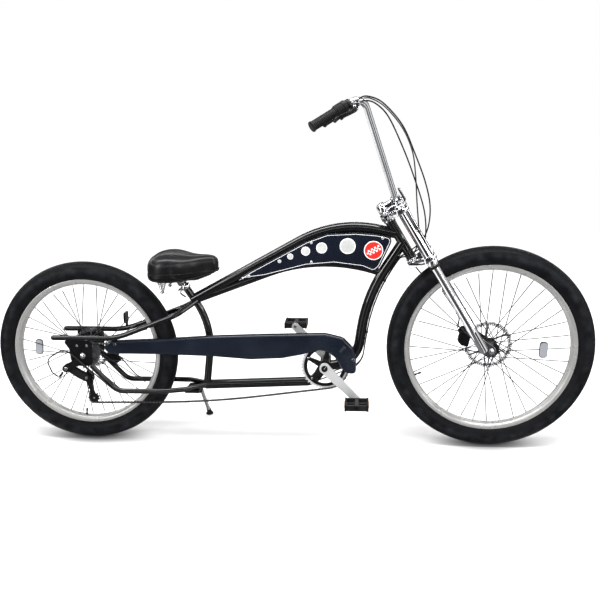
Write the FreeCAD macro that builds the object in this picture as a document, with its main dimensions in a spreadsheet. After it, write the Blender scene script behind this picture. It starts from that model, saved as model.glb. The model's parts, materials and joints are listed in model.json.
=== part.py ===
import FreeCAD, Part
import math
import os

# Chopper bicycle, right side is the chain side.
# Upright frame of the bicycle in millimetres: X forward from the rear axle, Y to the rider's left,
# Z up from the ground. The finished pieces lean to the left, onto the side stand.

V = FreeCAD.Vector

# Each row: name in the sheet, value in millimetres or degrees, what it measures.
SIZES = (
    ("lean_angle", 5.0, "lean onto the side stand"),
    ("wheelbase", 1534.0, "rear axle to front axle"),
    ("tyre_half_width", 38.0, "half the width of each tyre"),
    ("tyre_height", 66.0, "rim edge to tread"),
    ("tyre_seat_half", 20.0, "half the width of the tyre on its rim"),
    ("shoulder_half", 27.0, "half width of the tread at its shoulder"),
    ("shoulder_drop", 10.0, "tread crown down to its shoulder"),
    ("rear_radius", 352.0, "rear wheel to the tread"),
    ("front_radius", 383.0, "front wheel to the tread"),
    ("rim_half_width", 22.0, "half the width of each rim"),
    ("rim_wall", 13.0, "height of the rim's side wall"),
    ("rim_depth", 21.0, "rim edge to its inner face"),
    ("rim_inner_half", 9.0, "half the width of the rim's inner face"),
    ("spoke_radius", 1.2, "spoke section, corner radius"),
    ("hub_radius", 15.0, "hub barrel"),
    ("flange_radius", 31.0, "hub flange"),
    ("flange_thick", 4.0, "hub flange"),
    ("rear_hub_half", 67.5, "rear hub, half its width over the locknuts"),
    ("front_hub_half", 50.0, "front hub, half its width over the locknuts"),
    ("rear_flange_right", 21.0, "rear hub centre to its right flange"),
    ("rear_flange_left", 30.0, "rear hub centre to its left flange"),
    ("front_flange_right", 27.0, "front hub centre to its right flange"),
    ("front_flange_left", 21.5, "front hub centre to its left flange"),
    ("axle_radius", 5.0, "both wheel axles"),
    ("running_gap", 0.05, "radial clearance of a shaft in its hole"),
    ("seat_gap", 0.3, "clearance between pieces that move against each other"),
    ("rotor_thick", 2.0, "brake discs"),
    ("rear_rotor_radius", 80.0, "rear brake disc"),
    ("front_rotor_radius", 90.0, "front brake disc"),
    ("rear_rotor_y", 48.0, "rear brake disc, out from the middle"),
    ("front_rotor_y", 39.0, "front brake disc, out from the middle"),
    ("rotor_band", 15.0, "width of the brake track"),
    ("chain_pitch", 12.7, "chain and teeth"),
    ("chainring_teeth", 44.0, "front sprocket"),
    ("chain_y", -45.0, "plane of the chain"),
    ("chain_width", 6.6, "chain over its plates"),
    ("chain_height", 8.2, "chain plate at a pin"),
    ("chain_waist", 6.4, "chain plate between two pins"),
    ("sprocket_thick", 2.0, "chainring and cogs"),
    ("tooth_height", 2.2, "tooth tip above the pitch circle"),
    ("tooth_gap", 0.6, "groove of the chain over a tooth"),
    ("cog_spacing", 5.0, "one cog to the next"),
    ("pulley_teeth", 10.0, "derailleur pulleys"),
    ("guide_x", 6.0, "upper pulley"),
    ("guide_z", 262.0, "upper pulley"),
    ("tension_x", 25.0, "lower pulley"),
    ("tension_z", 176.0, "lower pulley"),
    ("sag_x", 200.0, "lowest point of the slack chain"),
    ("sag_z", 160.0, "lowest point of the slack chain"),
    ("sag_radius", 3500.0, "curve of the slack chain"),
    ("crank_x", 921.0, "crank axis"),
    ("crank_z", 316.0, "crank axis"),
    ("crank_length", 170.0, "crank axis to pedal axis"),
    ("crank_angle", -45.0, "right crank arm below level, forward"),
    ("crank_arm_y", 66.0, "inner face of each crank arm"),
    ("crank_arm_thick", 14.0, "crank arms"),
    ("spindle_radius", 8.5, "bottom bracket spindle"),
    ("bb_radius", 21.0, "bottom bracket shell"),
    ("bb_half", 36.5, "half the width of the bottom bracket shell"),
    ("cup_thick", 4.0, "bearing cup outside the shell"),
    ("pedal_axle_radius", 6.0, "pedal spindle"),
    ("pedal_half_length", 44.0, "pedal body, fore and aft"),
    ("pedal_width", 84.0, "pedal body, across"),
    ("pedal_thick", 24.0, "pedal body"),
    ("head_angle", 30.76, "steering axis back from upright"),
    ("head_x", 1157.1, "top of the head tube"),
    ("head_z", 858.2, "top of the head tube"),
    ("head_length", 158.0, "head tube"),
    ("head_radius", 18.0, "head tube"),
    ("head_wall", 2.2, "wall of the head tube"),
    ("headset_radius", 22.0, "headset cups"),
    ("headset_height", 8.0, "headset cups"),
    ("steerer_radius", 12.7, "steerer tube"),
    ("fork_offset", 58.0, "legs ahead of the steering axis"),
    ("leg_spacing", 68.0, "each leg out from the middle"),
    ("leg_upper_radius", 20.0, "fork leg above the lower crown"),
    ("leg_lower_radius", 17.0, "fork leg below the lower crown"),
    ("axle_drop", 601.1, "head tube top down to the front axle"),
    ("axle_offset", 80.85, "front axle ahead of the steering axis"),
    ("crown_thick", 20.0, "fork crowns"),
    ("upper_crown_z", 10.0, "underside of the upper crown over the head tube"),
    ("lower_crown_drop", 169.0, "head tube top down to the lower crown"),
    ("leg_top_z", 42.4, "top of the legs over the head tube"),
    ("stem_height", 30.0, "stem"),
    ("bar_radius", 11.1, "handlebar tube"),
    ("bar_clamp_offset", 56.0, "handlebar clamp ahead of the steering axis"),
    ("bar_clamp_z", 54.0, "handlebar clamp over the head tube"),
    ("bar_clamp_half", 62.0, "half the straight run of the handlebar in its clamp"),
    ("bar_top_offset", 138.0, "upper bend of the handlebar"),
    ("bar_top_y", 262.0, "upper bend of the handlebar"),
    ("bar_top_z", 428.0, "upper bend of the handlebar"),
    ("bar_end_offset", -44.0, "end of the handlebar"),
    ("bar_end_y", 360.0, "end of the handlebar"),
    ("bar_end_z", 426.0, "end of the handlebar"),
    ("bar_low_bend", 45.0, "lower bend of the handlebar"),
    ("bar_high_bend", 48.0, "upper bend of the handlebar"),
    ("grip_radius", 16.0, "grips"),
    ("grip_length", 92.0, "grips"),
    ("shifter_radius", 20.0, "twist shifters"),
    ("shifter_length", 44.0, "twist shifters"),
    ("lever_length", 92.0, "brake lever blades"),
    ("top_tube_radius", 19.0, "upper frame tube"),
    ("mid_tube_radius", 13.5, "second frame tube"),
    ("down_tube_radius", 19.0, "down tube"),
    ("boom_radius", 18.0, "lower long tube"),
    ("seat_tube_radius", 14.3, "seat tube"),
    ("stay_radius", 10.0, "rear stays"),
    ("seat_stay_y", 68.0, "seat stays beside the wheel"),
    ("chain_stay_y", 72.0, "chain stays beside the wheel"),
    ("dropout_thick", 5.0, "rear axle plates"),
    ("panel_thick", 3.0, "side panels between the two upper tubes"),
    ("post_radius", 12.7, "seat post"),
    ("guard_y", -61.0, "outer face of the chain guard"),
    ("guard_depth", 17.5, "chain guard, across"),
    ("guard_wall", 2.0, "chain guard"),
    ("stand_x", 423.0, "side stand pivot"),
    ("stand_y", 44.0, "side stand pivot"),
    ("stand_z", 188.0, "side stand pivot"),
    ("stand_tip", 29.0, "side stand pivot, tipped up from level"),
    ("stand_bolt_radius", 5.0, "side stand pivot bolt"),
    ("stand_foot_x", 424.0, "side stand foot"),
    ("stand_foot_y", 207.0, "side stand foot"),
    ("stand_leg_radius", 8.0, "side stand leg"),
    ("stand_foot_radius", 15.0, "side stand foot"),
    ("stand_foot_height", 12.0, "side stand foot"),
    ("cable_radius", 2.5, "cable housings"),
    ("cable_band", 1.0, "gap from a cable to the tube that carries it"),
    ("tube_sides", 14.0, "flats of a bent tube"),
    ("rod_sides", 14.0, "flats of a short round piece"),
    ("wire_sides", 6.0, "flats of cables, rails and springs"),
    ("wheel_sides", 72.0, "flats of tyres and rims"),
    ("hub_sides", 20.0, "flats of hubs and shells"),
    ("disc_waves", 18.0, "waves round a brake disc"),
)

doc = FreeCAD.newDocument("chopper_bicycle")
sheet = doc.addObject("Spreadsheet::Sheet", "sizes")
for row, (alias, number, meaning) in enumerate(SIZES, start=1):
    sheet.set(f"A{row}", meaning)
    sheet.set(f"B{row}", str(number))
    sheet.setAlias(f"B{row}", alias)
doc.recompute()


class SheetSizes:
    """Reads a size from the sheet by its name."""

    def __getattr__(self, alias):
        return float(sheet.get(alias))


S = SheetSizes()
PIECES = {}


def pitch_radius(teeth):
    """Radius of the pitch circle of a chain wheel."""
    return S.chain_pitch / (2 * math.sin(math.pi / teeth))


def head_frame():
    """Place of the steering frame: its origin at the head tube's top, Z up along the axis."""
    return FreeCAD.Placement(V(S.head_x, 0, S.head_z), FreeCAD.Rotation(V(0, 1, 0), -S.head_angle))


def lean():
    """Turn of the whole bicycle onto its side stand."""
    turn = FreeCAD.Rotation(V(1, 0, 0), -S.lean_angle)
    middle_x = (S.wheelbase + S.front_radius - S.rear_radius) / 2
    grip_y = S.bar_end_y - S.grip_radius
    grip = turn.multVec(head_frame().multVec(V(S.bar_end_offset, grip_y, S.bar_end_z)))
    far_grip = turn.multVec(head_frame().multVec(V(S.bar_end_offset, -grip_y, S.bar_end_z)))
    return FreeCAD.Placement(V(-middle_x, -(grip.y + far_grip.y) / 2, 0), turn)


def keep(label, item, place=None):
    """Registers a finished piece under its name, with its place in the upright frame."""
    item.Label = label
    PIECES[label] = (item, place or FreeCAD.Placement())
    return item


def ring(outline, sides):
    """Closed ring of flats about Z from one closed outline of radius and height."""
    step = 2 * math.pi / sides
    circles = [[V(radius * math.cos(step * index), radius * math.sin(step * index), height)
                for index in range(int(sides))] for radius, height in outline]
    faces = []
    for near, far in zip(circles, circles[1:] + circles[:1]):
        for index in range(int(sides)):
            following = (index + 1) % int(sides)
            corners = [near[index], near[following], far[following], far[index]]
            corners = [corner for place, corner in enumerate(corners)
                       if (corner - corners[place - 1]).Length > 1e-6]
            if len(corners) > 2:
                faces.append(Part.Face(Part.makePolygon(corners + corners[:1])))
    return Part.Solid(Part.Shell(faces))


def bored(radius):
    """Corner radius of a many-sided bore that lets a round shaft of this radius turn."""
    return (radius + S.running_gap) / math.cos(math.pi / S.hub_sides)


def rod(radius, height, base, way=V(0, 0, 1)):
    """Short round piece of flats from a base point, as a bare shape."""
    step = 2 * math.pi / S.rod_sides
    corners = [V(radius * math.cos(step * index), radius * math.sin(step * index), 0)
               for index in range(int(S.rod_sides))]
    solid = Part.Face(Part.makePolygon(corners + corners[:1])).extrude(V(0, 0, height))
    solid.Placement = FreeCAD.Placement(base, FreeCAD.Rotation(V(0, 0, 1), way))
    return solid


def cylinder(name, radius, height, base, direction):
    """Primitive cylinder from a base point along a direction, its sizes bound to the sheet."""
    item = doc.addObject("Part::Cylinder", name)
    item.setExpression("Radius", str(radius))
    item.setExpression("Height", str(height))
    item.Placement = FreeCAD.Placement(base, FreeCAD.Rotation(V(0, 0, 1), direction))
    return item


def box(name, length, width, height, base, turn=None):
    """Primitive box from its lowest corner, its sizes bound to the sheet."""
    item = doc.addObject("Part::Box", name)
    item.setExpression("Length", str(length))
    item.setExpression("Width", str(width))
    item.setExpression("Height", str(height))
    item.Placement = FreeCAD.Placement(base, turn or FreeCAD.Rotation())
    return item


def fuse(name, shapes):
    """Fusion of several objects."""
    item = doc.addObject("Part::MultiFuse", name)
    item.Shapes = shapes
    return item


def cut(name, base, tool):
    """Base without the tool."""
    item = doc.addObject("Part::Cut", name)
    item.Base = base
    item.Tool = tool
    return item


def feature(name, shape):
    """Object that holds a shape worked out from the sheet."""
    item = doc.addObject("Part::Feature", name)
    item.Shape = shape
    return item


def tangent_length(before, corner, after, radius):
    """Length that an arc of this radius takes from each of the two runs at a corner."""
    turn = (corner - before).getAngle(after - corner)
    return radius * math.tan(turn / 2)


def rounded_path(points, radii):
    """Open wire of straight runs joined by tangent arcs, one radius for each inner point."""
    edges = []
    start = points[0]
    for before, corner, after, radius in zip(points, points[1:], points[2:], radii):
        length = tangent_length(before, corner, after, radius)
        entry = corner + (before - corner).normalize() * length
        leave = corner + (after - corner).normalize() * length
        inward = ((entry - corner) + (leave - corner)).normalize()
        half_turn = (corner - before).getAngle(after - corner) / 2
        depth = radius / math.cos(half_turn) - radius
        middle = corner + inward * depth
        if (entry - start).Length > 1e-6:
            edges.append(Part.LineSegment(start, entry).toShape())
        edges.append(Part.Arc(entry, middle, leave).toShape())
        start = leave
    edges.append(Part.LineSegment(start, points[-1]).toShape())
    return Part.Wire(edges)


def swept(name, radius, points, radii, sides="tube_sides"):
    """Bar of flats swept along a rounded path."""
    path = feature(name + "_path", rounded_path(points, radii))
    section = doc.addObject("Part::RegularPolygon", name + "_section")
    section.setExpression("Polygon", f"sizes.{sides}")
    section.setExpression("Circumradius", str(radius))
    section.Placement = FreeCAD.Placement(
        points[0], FreeCAD.Rotation(V(0, 0, 1), (points[1] - points[0]).normalize()))
    bar = doc.addObject("Part::Sweep", name)
    bar.Sections = [section]
    bar.Spine = (path, [f"Edge{index + 1}" for index in range(len(path.Shape.Edges))])
    bar.Solid = True
    bar.Frenet = False
    return bar


def prism(name, radius, height, base, direction):
    """Short round piece of flats from a base point along a direction, its sizes bound to the sheet."""
    item = doc.addObject("Part::Prism", name)
    item.setExpression("Polygon", "sizes.rod_sides")
    item.setExpression("Circumradius", str(radius))
    item.setExpression("Height", str(height))
    item.Placement = FreeCAD.Placement(base, FreeCAD.Rotation(V(0, 0, 1), direction))
    return item


def extruded(name, corners, base_y, depth, radius=0.0):
    """Plate from corners in the bicycle's side plane, rounded by one radius, between two heights of Y."""
    points = [V(x, base_y, z) for x, z in corners]
    if radius:
        edges = []
        count = len(points)
        ends = []
        for index in range(count):
            before, corner, after = points[index - 1], points[index], points[(index + 1) % count]
            length = tangent_length(before, corner, after, radius)
            entry = corner + (before - corner).normalize() * length
            leave = corner + (after - corner).normalize() * length
            half_turn = (corner - before).getAngle(after - corner) / 2
            inward = ((entry - corner) + (leave - corner)).normalize()
            middle = corner + inward * (radius / math.cos(half_turn) - radius)
            ends.append((entry, middle, leave))
        for index, (entry, middle, leave) in enumerate(ends):
            edges.append(Part.Arc(entry, middle, leave).toShape())
            edges.append(Part.LineSegment(leave, ends[(index + 1) % count][0]).toShape())
        wire = Part.Wire(edges)
    else:
        wire = Part.makePolygon(points + points[:1])
    face = feature(name + "_outline", Part.Face(wire))
    plate = doc.addObject("Part::Extrusion", name)
    plate.Base = face
    plate.DirMode = "Custom"
    plate.Dir = V(0, 1, 0)
    plate.setExpression("LengthFwd", str(depth))
    plate.Solid = True
    return plate


def mirrored(name, item):
    """Mirror image across the bicycle's middle plane."""
    twin = doc.addObject("Part::Mirroring", name)
    twin.Source = item
    twin.Base = V(0, 0, 0)
    twin.Normal = V(0, 1, 0)
    return twin


def both_sides(name, item):
    """A piece and its mirror image in one object."""
    return fuse(name, [item, mirrored(name + "_twin", item)])


def axle_place(x, z):
    """Place of a wheel's own frame, its Z along the axle to the left."""
    return FreeCAD.Placement(V(x, 0, z), FreeCAD.Rotation(V(1, 0, 0), -90))


# Wheels


def tyre(label, outer, place):
    """Tyre with a crowned tread, full shoulders and side walls that narrow to the rim."""
    seat = outer - S.tyre_height
    widest = outer - S.tyre_height * 0.56
    shoulder = outer - S.shoulder_drop
    outline = (
        (seat, -S.tyre_seat_half), (widest, -S.tyre_half_width), (shoulder, -S.shoulder_half),
        (outer, 0), (shoulder, S.shoulder_half), (widest, S.tyre_half_width),
        (seat, S.tyre_seat_half))
    return keep(label, feature(label, ring(outline, S.wheel_sides)), place)


def rim(label, outer, place):
    """Double wall rim with tapered lower walls."""
    edge = outer - S.tyre_height
    wall = edge - S.rim_wall
    inner = edge - S.rim_depth
    outline = (
        (edge, -S.rim_half_width), (edge, S.rim_half_width), (wall, S.rim_half_width),
        (inner, S.rim_inner_half), (inner, -S.rim_inner_half), (wall, -S.rim_half_width))
    return keep(label, feature(label, ring(outline, S.wheel_sides)), place)


def spokes(label, radius, left_flange, right_flange, place):
    """Thirty-six crossed spokes from the hub flanges to the rim."""
    count, crossing, rim_stagger = 36, 3, 3.0
    stagger = S.flange_thick / 2 + S.spoke_radius + 1.4
    hole = S.flange_radius - 3.0
    reach = radius - S.tyre_height - S.rim_depth
    bars = []
    for index in range(count):
        side = 1 if index % 2 == 0 else -1
        twist = 1 if (index // 2) % 2 == 0 else -1
        flange = left_flange if side > 0 else -right_flange
        angle = 2 * math.pi * index / count
        lead = twist * crossing * 2 * 2 * math.pi / count
        hub_end = V(hole * math.cos(angle + lead), hole * math.sin(angle + lead),
                    flange + side * twist * stagger)
        rim_end = V(reach * math.cos(angle), reach * math.sin(angle),
                    side * rim_stagger + twist * rim_stagger / 2)
        direction = (rim_end - hub_end).normalize()
        bar = Part.makePolygon([V(S.spoke_radius * math.cos(turn), S.spoke_radius * math.sin(turn), 0)
                                for turn in (0, math.pi / 2, math.pi, 3 * math.pi / 2, 0)])
        bar = Part.Face(bar).extrude(V(0, 0, (rim_end - hub_end).Length))
        bar.Placement = FreeCAD.Placement(hub_end, FreeCAD.Rotation(V(0, 0, 1), direction))
        bars.append(bar)
    return keep(label, feature(label, Part.makeCompound(bars)), place)


def rotor_shape(outer, height):
    """Brake disc with a waved edge and six swept arms to its carrier."""
    wave, arm_width, sweep, arm_count = 3.0, 7.0, math.radians(28), 6
    points = 2 * int(S.disc_waves)
    inner = outer - S.rotor_band
    edges = []
    for radius, depth in ((outer, wave), (inner, wave / 2)):
        loop = [V((radius - depth * (index % 2)) * math.cos(2 * math.pi * index / points),
                  (radius - depth * (index % 2)) * math.sin(2 * math.pi * index / points), 0)
                for index in range(points)]
        edges.append(Part.Face(Part.makePolygon(loop + loop[:1])))
    track = edges[0].cut(edges[1])
    arms = []
    carrier = S.hub_radius + 4
    for index in range(arm_count):
        angle = 2 * math.pi * index / arm_count
        low = V(carrier * math.cos(angle), carrier * math.sin(angle), 0)
        high = V((inner + 2) * math.cos(angle + sweep), (inner + 2) * math.sin(angle + sweep), 0)
        side = (high - low).cross(V(0, 0, 1)).normalize() * arm_width / 2
        arms.append(Part.Face(Part.makePolygon([low + side, high + side, high - side, low - side,
                                                low + side])))
    disc = track.fuse(arms).removeSplitter().extrude(V(0, 0, S.rotor_thick))
    disc.translate(V(0, 0, height - S.rotor_thick / 2))
    return disc


def hub(label, half, left, right, rotor_radius, rotor_y, place, freewheel=0.0):
    """Hub with two flanges for the spokes and its brake disc on the left side."""
    bore = bored(S.axle_radius)
    barrel, flange, thick = S.hub_radius, S.flange_radius, S.flange_thick
    cone, taper = 9.0, 5.0
    carrier = barrel + 7
    shoulder = freewheel or half - taper
    outline = (
        (bore, -half), (cone, -half), (cone, -shoulder), (barrel, -shoulder),
        (barrel, -right - thick / 2), (flange, -right - thick / 2), (flange, -right + thick / 2),
        (barrel, -right + thick / 2 + taper), (barrel, left - thick / 2 - taper),
        (flange, left - thick / 2), (flange, left + thick / 2), (carrier, left + thick / 2),
        (carrier, rotor_y + 3), (cone, rotor_y + 4), (cone, half), (bore, half))
    body = ring(outline, S.hub_sides)
    disc = rotor_shape(rotor_radius, rotor_y)
    keep(label, feature(label, body.fuse(disc).removeSplitter()), place)


def toothed_face(teeth, tip, root, phase=0.0):
    """Flat toothed outline of a chain wheel."""
    corners = []
    for index in range(teeth):
        for share, radius in ((-0.28, root), (-0.1, tip), (0.1, tip), (0.28, root)):
            angle = 2 * math.pi * (index + share) / teeth + phase
            corners.append(V(radius * math.cos(angle), radius * math.sin(angle), 0))
    return Part.Face(Part.makePolygon(corners + corners[:1]))


def star_face(teeth, tip, root):
    """Flat outline of a small chain wheel with pointed teeth."""
    corners = []
    for index in range(2 * teeth):
        radius = tip if index % 2 == 0 else root
        angle = math.pi * index / teeth
        corners.append(V(radius * math.cos(angle), radius * math.sin(angle), 0))
    return Part.Face(Part.makePolygon(corners + corners[:1]))


def cassette(place):
    """Seven cogs on the freewheel body, the chain's own cog in the chain's plane."""
    cogs = (14, 16, 18, 20, 22, 24, 28)
    driven = cogs.index(20)
    stack = []
    for index, teeth in enumerate(cogs):
        height = S.chain_y + (index - driven) * S.cog_spacing
        radius = pitch_radius(teeth)
        cog = star_face(teeth, radius + S.tooth_height, radius - S.tooth_height * 1.4)
        cog = cog.extrude(V(0, 0, S.sprocket_thick * 0.9))
        cog.translate(V(0, 0, height - S.sprocket_thick * 0.45))
        stack.append(cog)
    low = S.chain_y - driven * S.cog_spacing - 2
    high = S.chain_y + (len(cogs) - 1 - driven) * S.cog_spacing + 2
    outer, inner = pitch_radius(cogs[0]) - 5, S.hub_radius + S.seat_gap / 3
    core = ring(((inner, low), (outer, low), (outer, high), (inner, high)), S.hub_sides)
    hole = ring(((0, low - 1), (inner, low - 1), (inner, high + 1), (0, high + 1)), S.hub_sides)
    stack = [cog.cut(hole) for cog in stack]
    keep("cassette", feature("cassette", core.fuse(stack).removeSplitter()), place)


def wheels():
    """Both wheels with their axles."""
    rear = axle_place(0, S.rear_radius)
    front = axle_place(S.wheelbase, S.front_radius)
    tyre("rear_tyre", S.rear_radius, rear)
    tyre("front_tyre", S.front_radius, front)
    rim("rear_rim", S.rear_radius, rear)
    rim("front_rim", S.front_radius, front)
    spokes("rear_spokes", S.rear_radius, S.rear_flange_left, S.rear_flange_right, rear)
    spokes("front_spokes", S.front_radius, S.front_flange_left, S.front_flange_right, front)
    hub("rear_hub", S.rear_hub_half - S.seat_gap, S.rear_flange_left, S.rear_flange_right,
        S.rear_rotor_radius, S.rear_rotor_y, rear, freewheel=63.0)
    hub("front_hub", S.front_hub_half - S.seat_gap, S.front_flange_left, S.front_flange_right,
        S.front_rotor_radius, S.front_rotor_y, front)
    cassette(rear)


# Drive: ring, cranks, pedals, chain, derailleur


def crank_direction():
    """Unit vector along the right crank arm."""
    angle = math.radians(S.crank_angle)
    return V(math.cos(angle), 0, math.sin(angle))


def crank_arm(name, direction, side):
    """Tapered arm with round ends, its thickness outside the inner face."""
    centre = V(S.crank_x, 0, S.crank_z)
    tip = centre + direction * S.crank_length
    big, small = 19.0, 13.5
    lean_in = math.asin((big - small) / S.crank_length)
    across = V(0, 1, 0).cross(direction)
    y = side * S.crank_arm_y if side > 0 else -S.crank_arm_y - S.crank_arm_thick
    edges = []
    for point, radius, outward in ((centre, big, -1), (tip, small, 1)):
        angle = math.pi / 2 - lean_in
        high = point + across * radius * math.sin(angle) + direction * radius * math.cos(angle)
        low = point - across * radius * math.sin(angle) + direction * radius * math.cos(angle)
        edges.append((high, point + direction * radius * outward, low))
    (a_high, a_mid, a_low), (b_high, b_mid, b_low) = edges
    wire = Part.Wire([
        Part.Arc(a_low, a_mid, a_high).toShape(), Part.LineSegment(a_high, b_high).toShape(),
        Part.Arc(b_high, b_mid, b_low).toShape(), Part.LineSegment(b_low, a_low).toShape()])
    wire.translate(V(0, y, 0))
    return Part.Face(wire).extrude(V(0, S.crank_arm_thick, 0))


def cranks():
    """Spindle with both arms and the five spider arms, one rotating piece."""
    direction = crank_direction()
    outer = S.crank_arm_y + S.crank_arm_thick
    centre = V(S.crank_x, -outer, S.crank_z)
    spindle = Part.makeCylinder(S.spindle_radius, 2 * outer, centre, V(0, 1, 0))
    right = crank_arm("right", direction, -1)
    left = crank_arm("left", direction * -1, 1)
    shape = spindle.fuse([right, left])
    for side, way in ((-1, direction), (1, direction * -1)):
        y = -outer - 1 if side < 0 else S.crank_arm_y - 1
        tip = V(S.crank_x, y, S.crank_z) + way * S.crank_length
        hole = Part.makeCylinder(S.pedal_axle_radius + S.running_gap, S.crank_arm_thick + 2, tip,
                                 V(0, 1, 0))
        shape = shape.cut(hole)
    keep("cranks", feature("cranks", shape.removeSplitter()))


def chainring():
    """Forty-four tooth ring with a five-armed spider, riveted to the right arm."""
    teeth = int(S.chainring_teeth)
    pitch = pitch_radius(teeth)
    ring = toothed_face(teeth, pitch + S.tooth_height, pitch - S.tooth_height * 1.4,
                        math.pi / 2 + math.pi / teeth)
    band, hub_disc, arm_count, arm_half = 15.0, 26.0, 5, 9.0
    hole = Part.Face(Part.Wire(Part.makeCircle(pitch - band)))
    flat = ring.cut(hole)
    arms = [Part.Face(Part.Wire(Part.makeCircle(hub_disc)))]
    for index in range(arm_count):
        angle = math.radians(S.crank_angle) + 2 * math.pi * (index + 0.5) / arm_count
        way = V(math.cos(angle), math.sin(angle), 0)
        side = V(-way.y, way.x, 0)
        inner, outer = way * (hub_disc * 0.7), way * (pitch - band + 3)
        arms.append(Part.Face(Part.makePolygon([
            inner + side * arm_half, outer + side * arm_half * 0.8, outer - side * arm_half * 0.8,
            inner - side * arm_half, inner + side * arm_half])))
    flat = flat.fuse(arms).removeSplitter()
    solid = flat.extrude(V(0, 0, S.sprocket_thick))
    solid.translate(V(0, 0, -S.sprocket_thick / 2))
    gap = S.crank_arm_y + S.chain_y - S.sprocket_thick / 2
    boss = Part.makeCylinder(17, gap, V(0, 0, S.sprocket_thick / 2))
    bore = Part.makeCylinder(S.spindle_radius + S.running_gap, 3 * gap, V(0, 0, -gap))
    solid = solid.fuse(boss).cut(bore).removeSplitter()
    turn = FreeCAD.Rotation(V(1, 0, 0), 90)
    place = FreeCAD.Placement(V(S.crank_x, S.chain_y, S.crank_z), turn)
    keep("chainring", feature("chainring", solid), place)


def pedal(label, direction, side):
    """Platform pedal with two end bars, two side bars and its spindle barrel."""
    centre = V(S.crank_x, 0, S.crank_z) + direction * S.crank_length
    inner = S.crank_arm_y + S.crank_arm_thick + 5
    half, wide, thick = S.pedal_half_length, S.pedal_width, S.pedal_thick
    bar = 9.0
    low = inner if side > 0 else -inner - wide
    frame = Part.makeBox(2 * half, wide, thick, V(-half, low, -thick / 2))
    for end in (-1, 1):
        start = -half + bar if end < 0 else bar
        window = Part.makeBox(half - 2 * bar, wide - 2 * bar, thick + 2,
                              V(start, low + bar, -thick / 2 - 1))
        frame = frame.cut(window)
    spindle_low = S.crank_arm_y if side > 0 else -inner - wide / 2
    length = inner + wide / 2 - S.crank_arm_y
    spindle = Part.makeCylinder(S.pedal_axle_radius, length, V(0, spindle_low, 0), V(0, 1, 0))
    solid = frame.fuse(spindle).removeSplitter()
    keep(label, feature(label, solid), FreeCAD.Placement(centre, FreeCAD.Rotation()))


def chain_circles():
    """Circles that the chain follows in order: centre, radius, and 1 where it wraps them inside."""
    pulley = pitch_radius(S.pulley_teeth)
    return (
        (V(S.crank_x, S.crank_z, 0), pitch_radius(S.chainring_teeth), 1),
        (V(0, S.rear_radius, 0), pitch_radius(20), 1),
        (V(S.guide_x, S.guide_z, 0), pulley, -1),
        (V(S.tension_x, S.tension_z, 0), pulley, 1),
        (V(S.sag_x, S.sag_z + S.sag_radius, 0), S.sag_radius, 1),
    )


def chain_runs():
    """Tangent runs between the chain's circles: for each, its direction and its two ends."""
    circles = chain_circles()
    runs = []
    for index, (centre, radius, side) in enumerate(circles):
        other, other_radius, other_side = circles[(index + 1) % len(circles)]
        gap = other - centre
        lean_out = math.asin((side * radius - other_side * other_radius) / gap.Length)
        angle = math.atan2(gap.y, gap.x) + lean_out
        right = V(math.sin(angle), -math.cos(angle), 0)
        runs.append((angle, centre + right * side * radius, other + right * other_side * other_radius))
    return runs


def chain_points():
    """Points and headings along the chain's loop, two for each link, and their spacing."""
    circles = chain_circles()
    runs = chain_runs()
    stretches = []
    for index, (angle, start, end) in enumerate(runs):
        stretches.append(("line", start, end, angle, 0))
        centre, radius, side = circles[(index + 1) % len(circles)]
        next_angle = runs[(index + 1) % len(runs)][0]
        turn = (next_angle - angle) * side % (2 * math.pi)
        stretches.append(("arc", centre, radius, angle, turn * side))
    lengths = [(item[2] - item[1]).Length if item[0] == "line" else item[2] * abs(item[4])
               for item in stretches]
    links = round(sum(lengths) / S.chain_pitch)
    step = sum(lengths) / (2 * links)
    points = []
    for count in range(2 * links):
        distance = count * step
        index = 0
        while distance > lengths[index]:
            distance -= lengths[index]
            index += 1
        kind, first, second, angle, turn = stretches[index]
        if kind == "line":
            points.append((first + V(math.cos(angle), math.sin(angle), 0) * distance, angle))
        else:
            heading = angle + math.copysign(distance / second, turn)
            side = math.copysign(1, turn)
            right = V(math.sin(heading), -math.cos(heading), 0)
            points.append((first + right * side * second, heading))
    return points


def chain():
    """One closed loop of links: plates wide at each pin, waisted between, open over the teeth."""
    outer, inner = [], []
    for count, (point, heading) in enumerate(chain_points()):
        right = V(math.sin(heading), -math.cos(heading), 0)
        half = (S.chain_height if count % 2 == 0 else S.chain_waist) / 2
        outer.append(point + right * half)
        inner.append(point - right * half)
    loop = Part.Face(Part.makePolygon(outer + outer[:1]))
    loop = loop.cut(Part.Face(Part.makePolygon(inner + inner[:1])))
    band = loop.extrude(V(0, 0, S.chain_width))
    band.translate(V(0, 0, -S.chain_width / 2))
    groove = S.sprocket_thick + 2 * S.tooth_gap
    for (centre, radius, side) in chain_circles()[:4]:
        tool = Part.makeCylinder(radius + S.tooth_height + S.tooth_gap, groove,
                                 V(centre.x, centre.y, -groove / 2))
        band = band.cut(tool)
    place = FreeCAD.Placement(V(0, S.chain_y, 0), FreeCAD.Rotation(V(1, 0, 0), 90))
    keep("chain", feature("chain", band), place)


def plate_shape(corners, low, thick):
    """Flat plate from corners in the side plane, from one height of Y, as a bare shape."""
    points = [V(x, low, z) for x, z in corners]
    return Part.Face(Part.makePolygon(points + points[:1])).extrude(V(0, thick, 0))


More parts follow.
